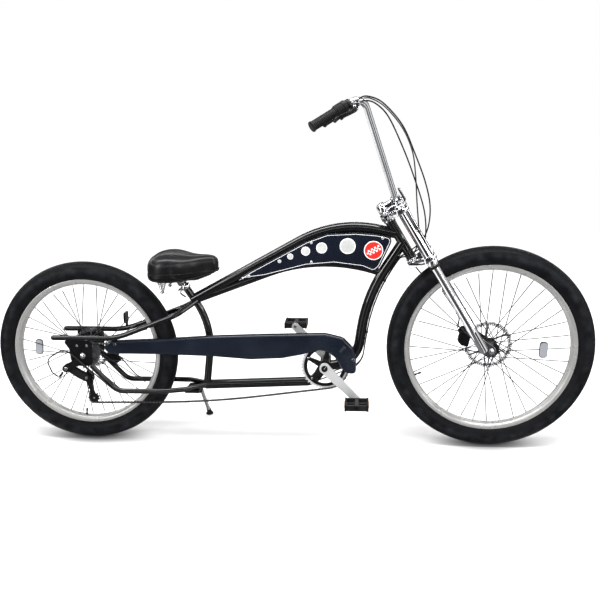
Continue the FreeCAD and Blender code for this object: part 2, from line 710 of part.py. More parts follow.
def derailleur_shape():
    """Hanger, knuckle, parallel arm, cage plates and two toothed pulleys, one fixed assembly."""
    y = S.chain_y
    guide = V(S.guide_x, y, S.guide_z)
    tension = V(S.tension_x, y, S.tension_z)
    pulley = pitch_radius(S.pulley_teeth)
    half_pin, cage_thick = 7.0, 2.0
    parts = []
    for centre in (guide, tension):
        wheel = star_face(int(S.pulley_teeth), pulley + S.tooth_height, pulley - 4)
        wheel = wheel.extrude(V(0, 0, S.sprocket_thick))
        wheel.Placement = FreeCAD.Placement(centre + V(0, S.sprocket_thick / 2, 0),
                                            FreeCAD.Rotation(V(1, 0, 0), 90))
        parts += [wheel, rod(4, 2 * half_pin, centre - V(0, half_pin, 0), V(0, 1, 0))]
    cage_gap = S.chain_width / 2 + 1.5
    way = (tension - guide).normalize()
    side = V(way.z, 0, -way.x)
    corners = (guide - way * 12 + side * 10, guide - way * 12 - side * 10,
               tension + way * 10 - side * 9, tension + way * 10 + side * 9)
    for low in (-cage_gap - cage_thick, cage_gap):
        parts.append(plate_shape([(corner.x, corner.z) for corner in corners], y + low, cage_thick))
    body_y = y - cage_gap - cage_thick
    outside = -S.rear_hub_half - S.dropout_thick
    hanger = ((-30, 336), (-8, 330), (-50, 294), (-76, 304))
    arm = ((-70, 292), (-58, 316), (12, 272), (0, 250))
    parts += [
        rod(14, body_y - outside + 9, V(-66, outside - 5, 303), V(0, 1, 0)),
        plate_shape(arm, body_y - 13, 8), plate_shape(hanger, outside - 5, 5),
        rod(11, 14, V(S.guide_x, body_y - 14, S.guide_z), V(0, 1, 0))]
    return parts[0].fuse(parts[1:]).removeSplitter()


def derailleur():
    """Rear derailleur on the right axle plate."""
    keep("derailleur", feature("derailleur", derailleur_shape()))


# Frame


def head_tube():
    """Head tube with its two headset cups, bored for the steerer."""
    length, cup = S.head_length, S.headset_height
    bore = bored(S.steerer_radius)
    inside = S.head_radius - S.head_wall
    outline = (
        (bore, cup), (S.headset_radius, cup), (S.headset_radius, 0), (S.head_radius, 0),
        (S.head_radius, -length), (S.headset_radius, -length), (S.headset_radius, -length - cup),
        (bore, -length - cup), (bore, -length + 6), (inside, -length + 8), (inside, -8), (bore, -6))
    keep("head_tube", feature("head_tube", ring(outline, S.hub_sides)), head_frame())


def head_tool(name):
    """Solid the size of the head tube, to shape the tubes that meet it."""
    outline = ((0, -S.head_length - 40), (S.head_radius, -S.head_length - 40), (S.head_radius, 40), (0, 40))
    tool = feature(name, ring(outline, S.hub_sides))
    tool.Placement = head_frame()
    return tool


def shell_tool(name):
    """Solid the size of the bottom bracket shell, to shape the tubes that meet it."""
    reach = 120
    outline = ((0, -reach), (S.bb_radius, -reach), (S.bb_radius, reach), (0, reach))
    tool = feature(name, ring(outline, S.hub_sides))
    tool.Placement = axle_place(S.crank_x, S.crank_z)
    return tool


FRAME_PATHS = {
    # Each tube: its corners in the side plane as x and z, and the bend radius at each inner corner.
    "upper_top_tube": (((1178, 812), (966, 858), (420, 559)), (416,)),
    "lower_top_tube": (((1130, 664), (918, 740), (438, 560)), (611,)),
    "down_tube": (((1205, 778), (1077, 579), (1037, 318), (921, 303)), (600, 108)),
    "boom_tube": (((455, 221), (878, 241), (921, 316)), (60,)),
    "seat_tube": (((397, 603), (490, 460), (461, 221)), (300,)),
}


def frame_tube(name, radius):
    """Main frame tube along its path in the side plane."""
    corners, radii = FRAME_PATHS[name]
    points = [V(x, 0, z) for x, z in corners]
    return swept(name + "_bar", radius, points, radii)


def main_tubes():
    """The five long tubes, each cut where it meets the tube that carries it."""
    seat_tool = frame_tube("seat_tube", "sizes.seat_tube_radius")
    keep("seat_tube", seat_tool)
    upper = frame_tube("upper_top_tube", "sizes.top_tube_radius")
    tools = fuse("upper_tools", [head_tool("head_tool_a"), frame_tool("seat_tube", "seat_tool_a",
                                                                     "sizes.seat_tube_radius")])
    keep("upper_top_tube", cut("upper_top_tube", upper, tools))
    lower = frame_tube("lower_top_tube", "sizes.mid_tube_radius")
    tools = fuse("lower_tools", [
        frame_tool("down_tube", "down_tool_b", "sizes.down_tube_radius"),
        frame_tool("upper_top_tube", "upper_tool_b", "sizes.top_tube_radius"),
        frame_tool("seat_tube", "seat_tool_b", "sizes.seat_tube_radius")])
    keep("lower_top_tube", cut("lower_top_tube", lower, tools))
    down = frame_tube("down_tube", "sizes.down_tube_radius")
    tools = fuse("down_tools", [
        head_tool("head_tool_c"), shell_tool("shell_tool_c"),
        frame_tool("upper_top_tube", "upper_tool_c", "sizes.top_tube_radius")])
    keep("down_tube", cut("down_tube", down, tools))
    boom = frame_tube("boom_tube", "sizes.boom_radius")
    tools = fuse("boom_tools", [
        shell_tool("shell_tool_d"),
        frame_tool("seat_tube", "seat_tool_d", "sizes.seat_tube_radius"),
        frame_tool("down_tube", "down_tool_d", "sizes.down_tube_radius")])
    keep("boom_tube", cut("boom_tube", boom, tools))


def frame_tool(tube, name, radius):
    """Copy of a frame tube's bar, to shape a tube that meets it."""
    corners, radii = FRAME_PATHS[tube]
    return swept(name, radius, [V(x, 0, z) for x, z in corners], radii)


def bb_shell():
    """Bottom bracket shell with its two bearing cups."""
    half, cup = S.bb_half, S.cup_thick
    bore = bored(S.spindle_radius)
    rim_radius = S.bb_radius - 3
    outline = ((bore, -half - cup), (rim_radius, -half - cup), (rim_radius, -half),
               (S.bb_radius, -half), (S.bb_radius, half), (rim_radius, half),
               (rim_radius, half + cup), (bore, half + cup))
    keep("bb_shell", feature("bb_shell", ring(outline, S.hub_sides)),
         axle_place(S.crank_x, S.crank_z))


def seat_stay(name):
    """Left seat stay, from behind the axle up to the seat tube."""
    y = S.seat_stay_y
    points = [V(-112, y, 422), V(130, y, 421), V(370, y, 515), V(436, 10, 556)]
    return swept(name, "sizes.stay_radius", points, (260, 60))


def chain_stay(name):
    """Left chain stay, from the axle plate forward to the lower long tube."""
    y = S.chain_stay_y
    points = [V(30, y, 316), V(126, y, 214), V(300, y, 215), V(385, y - 14, 219), V(462, 12, 222)]
    return swept(name, "sizes.stay_radius", points, (60, 200, 40))


def stays():
    """Seat stays and chain stays on both sides, with the bridge between the upper ones."""
    y = S.seat_stay_y
    bridge = prism("seat_stay_bridge", "sizes.stay_radius * 0.7", "2 * sizes.seat_stay_y",
                   V(366, -y, 513), V(0, 1, 0))
    pair = fuse("seat_stay_pair", [both_sides("seat_stay_bars", seat_stay("seat_stay_bar")), bridge])
    tools = [frame_tool("seat_tube", "seat_tool_e", "sizes.seat_tube_radius"),
             frame_tool("upper_top_tube", "upper_tool_e", "sizes.top_tube_radius"),
             frame_tool("lower_top_tube", "lower_tool_e", "sizes.mid_tube_radius")]
    keep("seat_stays", cut("seat_stays", pair, fuse("seat_stay_tools", tools)))
    pair = both_sides("chain_stay_pair", chain_stay("chain_stay_bar"))
    tools = [frame_tool("seat_tube", "seat_tool_f", "sizes.seat_tube_radius"),
             frame_tool("boom_tube", "boom_tool_f", "sizes.boom_radius")]
    keep("chain_stays", cut("chain_stays", pair, fuse("chain_stay_tools", tools)))


def dropouts():
    """Rear axle plates between the seat stays and the chain stays, on both sides."""
    corners = ((-74, 413), (-50, 378), (-48, 340), (-38, 312), (24, 312), (36, 318), (42, 413))
    y = S.rear_hub_half
    plate = extruded("dropout_plate", corners, y, "sizes.dropout_thick")
    hole = cylinder("dropout_hole", "sizes.axle_radius + sizes.running_gap", "40", V(0, y - 10, S.rear_radius),
                    V(0, 1, 0))
    plate = cut("dropout_bored", plate, hole)
    pair = both_sides("dropout_pair", plate)
    tools = both_sides("dropout_tools", fuse("dropout_tool", [seat_stay("seat_stay_tool"),
                                                              chain_stay("chain_stay_tool")]))
    keep("dropouts", cut("dropouts", pair, tools))


def rear_axle():
    """Rear axle with its nuts outside the plates."""
    outside = S.rear_hub_half + S.dropout_thick
    free = 14.0
    rod = cylinder("rear_axle_rod", "sizes.axle_radius", str(2 * (outside + free)),
                   V(0, -outside - free, S.rear_radius), V(0, 1, 0))
    nuts = []
    for index, y in enumerate((-outside - 7, outside)):
        nut = doc.addObject("Part::Prism", f"rear_nut_{index}")
        nut.Polygon = 6
        nut.Circumradius = 9.5
        nut.Height = 7
        nut.Placement = FreeCAD.Placement(V(0, y, S.rear_radius), FreeCAD.Rotation(V(0, 0, 1), V(0, 1, 0)))
        nuts.append(nut)
    keep("rear_axle", fuse("rear_axle", [rod] + nuts))


def tank_panels():
    """Side panels that fill the space between the two upper tubes, held by bosses."""
    corners = ((1172, 800), (1110, 812), (1034, 818), (930, 813), (852, 785), (640, 671), (596, 640),
               (700, 655), (851, 694), (955, 703), (1058, 690), (1100, 672), (1122, 690))
    y = S.top_tube_radius + S.seat_gap
    plate = extruded("panel_plate", corners, y, "sizes.panel_thick")
    bosses = []
    for index, (x, z) in enumerate(((690, 664), (900, 700), (1100, 674))):
        low = S.mid_tube_radius - 4
        bosses.append(prism(f"panel_boss_{index}", "5", str(y - low + 1), V(x, low, z), V(0, 1, 0)))
    plate = fuse("panel_bossed", [plate] + bosses)
    tools = fuse("panel_tools", [
        frame_tool("upper_top_tube", "upper_tool_g", "sizes.top_tube_radius"),
        frame_tool("lower_top_tube", "lower_tool_g", "sizes.mid_tube_radius")])
    half = cut("panel_half", plate, tools)
    keep("tank_panels", both_sides("tank_panels", half))


def seat_post():
    """Chrome post with its collar and head, the two saddle rails and the two coil springs."""
    corners, _ = FRAME_PATHS["seat_tube"]
    top = V(corners[0][0], 0, corners[0][1])
    below = V(corners[1][0], 0, corners[1][1])
    up = (top - below).normalize()
    post = prism("post_bar", "sizes.post_radius", "34", top, up)
    collar = prism("post_collar", "sizes.seat_tube_radius + 4", "16", top + up * 0.3, up)
    head = box("post_head", "46", "52", "16", V(340, -26, 624))
    parts = [post, collar, head]
    for side in (-1, 1):
        points = [V(318, side * 58, 628), V(345, side * 22, 639), V(440, side * 18, 639),
                  V(492, side * 10, 656)]
        parts.append(swept(f"rail_{side + 1}", "3.5", points, (40, 60), sides="wire_sides"))
        spring = feature(f"spring_{side + 1}", spring_shape(15, 10, 43.4, 4))
        spring.Placement = FreeCAD.Placement(V(318, side * 60, 599), FreeCAD.Rotation())
        parts.append(spring)
    keep("seat_post", fuse("seat_post", parts))


def spring_shape(outer, inner, height, coils):
    """Stacked coils of a saddle spring, wide and narrow by turns."""
    pitch = height / coils
    outline = [(0, 0)]
    for coil in range(coils):
        outline += [(inner, coil * pitch), (outer, (coil + 0.3) * pitch), (outer, (coil + 0.7) * pitch)]
    outline += [(inner, height), (0, height)]
    return ring(outline, S.rod_sides)


def saddle():
    """Wide cruiser saddle: broad dished rear, waist and narrow nose."""
    # Each section: x, half width, underside height, shoulder height, top height.
    sections = (
        (262, 58, 664, 690, 706), (274, 84, 649, 692, 726), (294, 102, 644, 696, 738),
        (324, 110, 643, 698, 745), (356, 110, 643, 699, 746), (386, 97, 644, 698, 740),
        (416, 72, 646, 697, 733), (446, 48, 650, 697, 730), (480, 33, 659, 698, 731),
        (506, 25, 667, 698, 728), (521, 14, 676, 697, 714))
    # Each point round a section: share of the half width, share of the rise from shoulder to top.
    shape = ((1.0, 0.0), (0.93, 0.45), (0.72, 0.82), (0.38, 0.97), (0.0, 1.0))
    loops = []
    for x, half, low, shoulder, top in sections:
        side = [V(x, half * wide, shoulder + (top - shoulder) * rise) for wide, rise in shape]
        flank = [V(x, half * 0.8, low), V(x, half * 0.97, (low + shoulder) / 2)]
        left = flank + side
        right = [V(point.x, -point.y, point.z) for point in reversed(left[:-1])]
        loops.append(left + right)
    keep("saddle", feature("saddle", skinned(loops)))


def skinned(loops):
    """Closed solid of flat triangles over a row of loops, its ends closed by a face each."""
    faces = []
    count = len(loops[0])
    for near, far in zip(loops, loops[1:]):
        for index in range(count):
            following = (index + 1) % count
            for corners in ((near[index], near[following], far[following]),
                            (near[index], far[following], far[index])):
                faces.append(Part.Face(Part.makePolygon(corners + corners[:1])))
    for end in (loops[0], loops[-1]):
        faces.append(Part.Face(Part.makePolygon(end + end[:1])))
    return Part.Solid(Part.Shell(faces))


def chain_guard():
    """Long pressed guard over the upper run, its nose round the ring, with a lip along its edge."""
    outline = ((74, 380), (98, 408), (300, 418), (500, 432), (700, 440), (923, 446), (990, 430),
               (1028, 390), (1038, 350), (1038, 289), (1002, 289), (980, 312), (958, 352),
               (930, 374), (900, 380), (836, 361), (760, 346), (640, 340), (500, 350), (300, 356),
               (98, 356))
    y = S.guard_y
    outer = extruded("guard_plate", outline, y, "sizes.guard_depth")
    wall = S.guard_wall
    inner = [(x, z - wall) for x, z in outline[1:6]]
    inner += [(x - wall, z - wall) for x, z in outline[6:9]]
    inner = [(-40, 380), (0, outline[1][1] - wall)] + inner
    inner += [(outline[9][0] - wall, 200), (-40, 200)]
    tool = extruded("guard_hollow", inner, y + wall, "sizes.guard_depth")
    shell = cut("guard_shell", outer, tool)
    front_tab = prism("guard_front_tab", "6", str(-y - wall / 2), V(1027, y + wall / 2, 346), V(0, 1, 0))
    rear_tab = box("guard_rear_tab", "22", "5", "26", V(112, y - 4, 394))
    whole = fuse("guard_whole", [shell, front_tab, rear_tab])
    tools = fuse("guard_tools", [frame_tool("down_tube", "down_tool_h", "sizes.down_tube_radius"),
                                 mirrored("seat_stay_tool_right", seat_stay("seat_stay_tool_c"))])
    keep("chain_guard", cut("chain_guard", whole, tools))


def tail_reflector():
    """Red reflector in its housing, on a post that stands on the left seat stay."""
    y = S.seat_stay_y
    housing = box("tail_housing", "8", "44", "42", V(130, y - 21, 449))
    post = box("tail_post", "10", "12", "30", V(131, y - 6, 424))
    whole = fuse("tail_whole", [housing, post])
    keep("tail_reflector", cut("tail_reflector", whole, seat_stay("seat_stay_tool_b")))


def caliper_shape(rotor_radius, rotor_y):
    """Disc brake caliper over the edge of a disc: X out along the disc's radius, Z round it."""
    length, depth, inner_width, outer_width = 48.0, 42.0, 9.9, 17.0
    slot = S.rotor_thick / 2 + 1.2
    low = rotor_radius - S.rotor_band - 3
    corners = [(low, -length / 2), (low + depth * 0.6, -length / 2), (low + depth, -length * 0.26),
               (low + depth, length * 0.26), (low + depth * 0.6, length / 2), (low, length / 2)]
    body = plate_shape(corners, rotor_y - inner_width, inner_width + outer_width)
    gap = Part.makeBox(S.rotor_band + 8, 2 * slot, length + 2,
                       V(low - 1, rotor_y - slot, -length / 2 - 1))
    knob = rod(11, 4, V(low + 16, rotor_y + outer_width - 1, 0), V(0, 1, 0))
    return body.cut(gap).fuse(knob)


def rear_caliper():
    """Rear caliper ahead of the axle, its bracket on the left chain stay."""
    angle = 20
    body = feature("rear_caliper_body", caliper_shape(S.rear_rotor_radius, S.rear_rotor_y))
    body.Placement = FreeCAD.Placement(V(0, 0, S.rear_radius), FreeCAD.Rotation(V(0, 1, 0), angle))
    low = S.rear_rotor_y + 11
    bracket = feature("rear_caliper_bracket", plate_shape(
        ((52, 288), (72, 268), (108, 296), (96, 316), (64, 312)), low, S.chain_stay_y - low))
    whole = fuse("rear_caliper_whole", [body, bracket])
    keep("rear_caliper", cut("rear_caliper", whole, chain_stay("chain_stay_tool_b")))


def front_caliper():
    """Front caliper behind the left fork leg, its bracket on the leg."""
    angle = 137
    body = feature("front_caliper_body", caliper_shape(S.front_rotor_radius, S.front_rotor_y))
    turn = FreeCAD.Rotation(V(0, 1, 0), -angle)
    body.Placement = FreeCAD.Placement(V(S.axle_offset, 0, -S.axle_drop), turn)
    x = S.fork_offset
    low = S.front_rotor_y + 11
    bracket = feature("front_caliper_bracket", plate_shape(
        ((8, -500), (8, -540), (x, -548), (x, -512), (30, -492)), low, 12))
    leg = feature("front_caliper_tool", fork_leg(1))
    whole = fuse("front_caliper_whole", [body, bracket])
    keep("front_caliper", cut("front_caliper", whole, leg), head_frame())


def stand_axis():
    """Direction of the side stand's pivot, tipped up so that the leg folds in beside the wheel."""
    tip = math.radians(S.stand_tip)
    return V(0, math.cos(tip), math.sin(tip))


def stand():
    """Side stand: clamp plate under the chain stays, pivot bolt, and the leg with its foot pad."""
    axis = stand_axis()
    pivot = V(S.stand_x, S.stand_y, S.stand_z)
    lug_length, eye_length, head = 16.0, 19.0, 5.0
    bolt_length = eye_length + 2 * S.seat_gap + head
    plate = box("stand_plate", "56", "94", "10", V(S.stand_x - 40, -52, S.stand_z + 14))
    lug = prism("stand_lug", "11", str(lug_length), pivot - axis * lug_length, axis)
    web = box("stand_web", "20", "12", "24", V(S.stand_x - 10, S.stand_y - 20, S.stand_z - 8))
    bolt = cylinder("stand_bolt", "sizes.stand_bolt_radius", str(bolt_length + 2), pivot - axis * 2, axis)
    bolt_head = prism("stand_bolt_head", "8", str(head), pivot + axis * (bolt_length - head), axis)
    bracket = fuse("stand_bracket_whole", [plate, lug, web, bolt, bolt_head])
    stay_pair = both_sides("stand_stay_pair", chain_stay("chain_stay_tool_c"))
    keep("stand_bracket", cut("stand_bracket", bracket, stay_pair))
    base = pivot + axis * S.seat_gap
    middle = base + axis * (lug_length / 2)
    foot_z = S.stand_foot_y * math.tan(math.radians(S.lean_angle))
    foot = V(S.stand_foot_x, S.stand_foot_y, foot_z + S.stand_foot_height * 0.5)
    leg = prism("stand_bar", "sizes.stand_leg_radius", str((foot - middle).Length), middle,
                (foot - middle).normalize())
    eye = prism("stand_eye", "12", str(eye_length), base, axis)
    up = FreeCAD.Rotation(V(1, 0, 0), S.lean_angle).multVec(V(0, 0, 1))
    pad = prism("stand_pad", "sizes.stand_foot_radius", "sizes.stand_foot_height",
                V(S.stand_foot_x, S.stand_foot_y, foot_z), up)
    bore = cylinder("stand_bore", "sizes.stand_bolt_radius + sizes.running_gap", str(eye_length + 4),
                    base - axis * 2, axis)
    keep("stand_leg", cut("stand_leg", fuse("stand_leg_solid", [eye, leg, pad]), bore))


# Fork and handlebar, in the steering frame


def crown_face():
    """Outline of a fork crown round the steerer and both legs."""
    x, y, radius = S.fork_offset, S.leg_spacing, S.leg_upper_radius + 5
    points = [V(-24, -20, 0), V(-24, 20, 0), V(x - 12, y + radius, 0), V(x + radius, y + radius * 0.6, 0),
              V(x + radius * 0.5, 0, 0), V(x + radius, -y - radius * 0.6, 0), V(x - 12, -y - radius, 0)]
    return Part.Face(Part.makePolygon(points + points[:1]))


def fork_crowns():
    """Upper and lower crowns with the steerer between them."""
    x, y = S.fork_offset, S.leg_spacing
    solids = []
    low = -S.lower_crown_drop - S.crown_thick
    for base in (S.upper_crown_z, low):
        plate = crown_face().extrude(V(0, 0, S.crown_thick))
        plate.translate(V(0, 0, base))
        solids.append(plate)
    steerer = Part.makeCylinder(S.steerer_radius, S.bar_clamp_z + 14 - low, V(0, 0, low))
    shape = solids[0].fuse([solids[1], steerer])
    for side in (-1, 1):
        shape = shape.cut(rod(S.leg_upper_radius, 500, V(x, side * y, -300)))
    keep("fork_crowns", feature("fork_crowns", shape.removeSplitter()), head_frame())


def fork_leg(side):
    """One fork leg: thick upper tube, slimmer lower tube and axle plate."""
    x, y = S.fork_offset, S.leg_spacing
    low = -S.lower_crown_drop - S.crown_thick
    end = -S.axle_drop + 18
    upper = rod(S.leg_upper_radius, S.leg_top_z - low + 14, V(x, side * y, low - 14))
    lower = rod(S.leg_lower_radius, low - end, V(x, side * y, end))
    plate_low = side * (S.front_hub_half + 3) - 3
    corners = [V(x - 14, plate_low, end + 40), V(x + 16, plate_low, end + 40),
               V(S.axle_offset + 16, plate_low, -S.axle_drop + 6),
               V(S.axle_offset + 12, plate_low, -S.axle_drop - 14),
               V(S.axle_offset - 12, plate_low, -S.axle_drop - 16),
               V(x - 14, plate_low, end - 4)]
    plate = Part.Face(Part.makePolygon(corners + corners[:1])).extrude(V(0, 6, 0))
    return upper.fuse([lower, plate]).removeSplitter()


def fork_legs():
    """Both fork legs, bored for the axle."""
    hole = Part.makeCylinder(S.axle_radius + S.running_gap, 4 * S.front_hub_half,
                             V(S.axle_offset, -2 * S.front_hub_half, -S.axle_drop), V(0, 1, 0))
    legs = [fork_leg(side).cut(hole) for side in (-1, 1)]
    keep("fork_legs", feature("fork_legs", Part.makeCompound(legs)), head_frame())


def front_axle():
    """Front axle with its nuts outside the fork plates."""
    outside = S.front_hub_half + 6
    free = 12.0
    rod = cylinder("front_axle_rod", "sizes.axle_radius", str(2 * (outside + free)),
                   V(S.wheelbase, -outside - free, S.front_radius), V(0, 1, 0))
    nuts = []
    for index, y in enumerate((-outside - 7, outside)):
        nut = doc.addObject("Part::Prism", f"front_nut_{index}")
        nut.Polygon = 6
        nut.Circumradius = 9.5
        nut.Height = 7
        nut.Placement = FreeCAD.Placement(V(S.wheelbase, y, S.front_radius),
                                          FreeCAD.Rotation(V(0, 0, 1), V(0, 1, 0)))
        nuts.append(nut)
    keep("front_axle", fuse("front_axle", [rod] + nuts))


def bar_points(side):
    """Corners of one half of the handlebar in the steering frame."""
    return [V(S.bar_clamp_offset, 0, S.bar_clamp_z),
            V(S.bar_clamp_offset, side * S.bar_clamp_half, S.bar_clamp_z),
            V(S.bar_top_offset, side * S.bar_top_y, S.bar_top_z),
            V(S.bar_end_offset, side * S.bar_end_y, S.bar_end_z)]


def handlebar():
    """High-rise handlebar, one bent tube."""
    left, right = bar_points(1), bar_points(-1)
    points = left[:0:-1] + right[1:]
    bar = swept("handlebar_tube", "sizes.bar_radius", points,
                (S.bar_high_bend, S.bar_low_bend, S.bar_low_bend, S.bar_high_bend))
    keep("handlebar", bar, head_frame())


def stem():
    """Stem on the steerer with its split clamp round the handlebar."""
    reach, z = S.bar_clamp_offset, S.bar_clamp_z
    block = Part.makeBox(reach, 36, S.stem_height, V(0, -18, z - S.stem_height / 2 - 4))
    post = rod(20, S.stem_height, V(0, 0, z - S.stem_height / 2 - 4))
    clamp = rod(19, 60, V(reach, -30, z), V(0, 1, 0))
    shape = block.fuse([post, clamp])
    bar_hole = rod(S.bar_radius + S.seat_gap, 80, V(reach, -40, z), V(0, 1, 0))
    steerer_hole = Part.makeCylinder(S.steerer_radius, 120, V(0, 0, -20))
    shape = shape.cut(bar_hole).cut(steerer_hole).removeSplitter()
    keep("stem", feature("stem", shape), head_frame())


def grip_line(side):
    """End point of the handlebar and the direction back along its grip."""
    points = bar_points(side)
    return points[3], (points[2] - points[3]).normalize()


def grips():
    """Rubber grips with ribs, and the twist shifters inboard of them."""
    solids = []
    for side in (-1, 1):
        end, inward = grip_line(side)
        outline = []
        ribs = 6
        outline.append(V(0, 0, -5))
        outline.append(V(S.grip_radius + 2, 0, -5))
        outline.append(V(S.grip_radius + 2, 0, 0))
        for index in range(ribs):
            low = S.grip_length * (index + 0.2) / ribs
            high = S.grip_length * (index + 0.8) / ribs
            outline += [V(S.grip_radius - 1.2, 0, low), V(S.grip_radius, 0, high)]
        total = S.grip_length + S.shifter_length
        outline += [V(S.shifter_radius - 2, 0, S.grip_length + 1), V(S.shifter_radius, 0, S.grip_length + 8),
                    V(S.shifter_radius, 0, total - 4), V(S.shifter_radius - 4, 0, total),
                    V(S.bar_radius, 0, total), V(S.bar_radius, 0, 0), V(0, 0, 0)]
        solid = ring([(point.x, point.z) for point in outline], S.rod_sides)
        solid.Placement = FreeCAD.Placement(end, FreeCAD.Rotation(V(0, 0, 1), inward))
        solids.append(solid)
    keep("grips", feature("grips", Part.makeCompound(solids)), head_frame())


def brake_levers():
    """Brake lever brackets clamped inboard of the shifters, each with its blade."""
    solids = []
    for side in (-1, 1):
        end, inward = grip_line(side)
        start = S.grip_length + S.shifter_length + 1
        turn = FreeCAD.Placement(end, FreeCAD.Rotation(V(0, 0, 1), inward))
        local_down = turn.Rotation.inverted().multVec(V(0.35, side * 0.75, -0.55))
        way = V(local_down.x, local_down.y, 0).normalize()
        across = V(-way.y, way.x, 0)
        band = rod(S.bar_radius + 5, 15, V(0, 0, start))
        corners = [way * 8 - across * 8, way * 42 - across * 7, way * 42 + across * 7, way * 8 + across * 8]
        arm = Part.Face(Part.makePolygon(corners + corners[:1])).extrude(V(0, 0, 15))
        arm.translate(V(0, 0, start))
        blade_points = [way * 40 + V(0, 0, start + 10), way * 48 + V(0, 0, start - 20),
                        way * 44 + V(0, 0, start - S.lever_length)]
        blade = blade_solid(blade_points, across, 6, 9)
        hole = rod(S.bar_radius, 60, V(0, 0, start - 20))
        solid = band.fuse([arm, blade]).cut(hole).removeSplitter()
        solid.Placement = turn
        solids.append(solid)
    keep("brake_levers", feature("brake_levers", Part.makeCompound(solids)), head_frame())


def blade_solid(points, across, half_thick, half_wide):
    """Flat blade along three points."""
    first, middle, last = points
    normal = (last - first).cross(across).normalize() * half_thick / 2
    side = across * half_wide
    upper = [first + normal, middle + normal, last + normal]
    lower = [last - normal, middle - normal, first - normal]
    corners = [corner - side for corner in upper + lower]
    return Part.Face(Part.makePolygon(corners + corners[:1])).extrude(side * 2)


def front_reflector():
    """Clear reflector on its bracket ahead of the handlebar clamp."""
    z, x = S.bar_clamp_z, S.bar_clamp_offset
    lens = Part.makeBox(8, 50, 50, V(x + 26, -25, z - 18))
    arm = Part.makeBox(12, 12, 5, V(x + 19.3, -6, z - 4))
    keep("front_reflector", feature("front_reflector", lens.fuse(arm).removeSplitter()), head_frame())


# Cables


# Route of the two frame cables, drawn on the left: x, y, z of each corner and its bend radius.
# They lie under the bend of the down tube, beside the lower tube and outside the chain stay.
FRAME_CABLE = (
    (1188, 4, 711, 0), (1098, 4, 571, 622), (1056.2, 4, 298.3, 80), (985, 21, 288, 80),
    (868, 21.2, 240.5, 120), (468.7, 23, 222, 120), (389.6, 70.8, 219.5, 90), (301.1, 85.4, 215.5, 150))
BRAKE_END = ((165, 85.4, 214, 50), (102, 56, 314, 0))
GEAR_END = ((126, 85.4, 214, 60), (-64, 85, 384, 32), (-142, 78, 338, 32),
            (-124, 71, 282, 24), (-95, 70, 262, 0))
# Cables of the handlebar in the steering frame, drawn on the left.
FRONT_CABLE = (
    (100.8, 304.4, 414.1, 0), (188.8, 257, 415, 50), (166, 44, -62, 55), (60, 44, -120, 60),
    (-3, 52, -165, 45), (-1, 62, -240, 90), (38.2, 68, -340, 110), (38.2, 68, -450, 60), (12, 59.5, -493, 0))
BAR_CABLES = (
    ((100.8, 304.4, 414.1, 0), (188.8, 257, 415, 50), (166, 40, -62, 55), (60, 38, -120, 60),
     (6, 34, -128, 0)),
    ((70.6, 286.3, 411.3, 0), (93, 274, 411, 30), (158, 32, -72, 55), (60, 30, -132, 60),
     (6, 28, -142, 0)))
CABLE_CLIPS = ((1140, 4, 636), (1066, 4, 440), (760, 21, 236), (560, 21, 226), (240, 85, 215))


def cable(name, route, side):
    """Cable of flats along its route, on the left for 1 and on the right for -1."""
    points = [V(x, side * y, z) for x, y, z, _ in route]
    radii = [radius for _, _, _, radius in route[1:-1]]
    print(f"{name}: bend radii {radii}")
    return swept(name, "sizes.cable_radius", points, radii, sides="wire_sides")


def rear_cables():
    """Brake cable to the rear caliper and gear cable to the derailleur, with their clips."""
    parts = [cable("brake_cable", FRAME_CABLE + BRAKE_END, 1), cable("gear_cable", FRAME_CABLE + GEAR_END, -1)]
    reach, wide = 8.0, 7.0
    for index, (x, y, z) in enumerate(CABLE_CLIPS):
        for side in (-1, 1):
            low = side * y - wide / 2 - (3 if side > 0 else 0)
            parts.append(box(f"clip_{index}_{side + 1}", str(reach), str(wide + 3), "9",
                             V(x - reach / 2, low, z - 4.5)))
    whole = fuse("rear_cable_whole", parts)
    tools = fuse("rear_cable_tools", [
        frame_tool("down_tube", "down_tool_c", "sizes.down_tube_radius"),
        frame_tool("boom_tube", "boom_tool_c", "sizes.boom_radius"),
        both_sides("chain_stay_tools_d", chain_stay("chain_stay_tool_d")),
        feature("derailleur_tool", derailleur_shape())])
    keep("rear_cables", cut("rear_cables", whole, tools))


def bar_cables():
    """Brake and gear cables from the right hand towards the frame, and the front brake's cable."""
    bars = [cable(f"bar_cable_{index}", route, -1) for index, route in enumerate(BAR_CABLES)]
    leg = feature("front_cable_tool", fork_leg(1))
    bars.append(cut("front_cable", cable("front_cable_bar", FRONT_CABLE, 1), leg))
    keep("bar_cables", fuse("bar_cables", bars), head_frame())


def build():
    """All pieces of the bicycle."""
    wheels()
    cranks()
    chainring()
    right = crank_direction()
    pedal("pedal_right", right, -1)
    pedal("pedal_left", right * -1, 1)
    chain()
    derailleur()
    head_tube()
    main_tubes()
    bb_shell()
    stays()
    dropouts()
    rear_axle()
    tank_panels()
    seat_post()
    saddle()
    chain_guard()
    tail_reflector()
    rear_caliper()
    front_caliper()
    stand()
    fork_crowns()
    fork_legs()
    front_axle()
    handlebar()
    stem()
    grips()
    brake_levers()
    front_reflector()
    rear_cables()
    bar_cables()


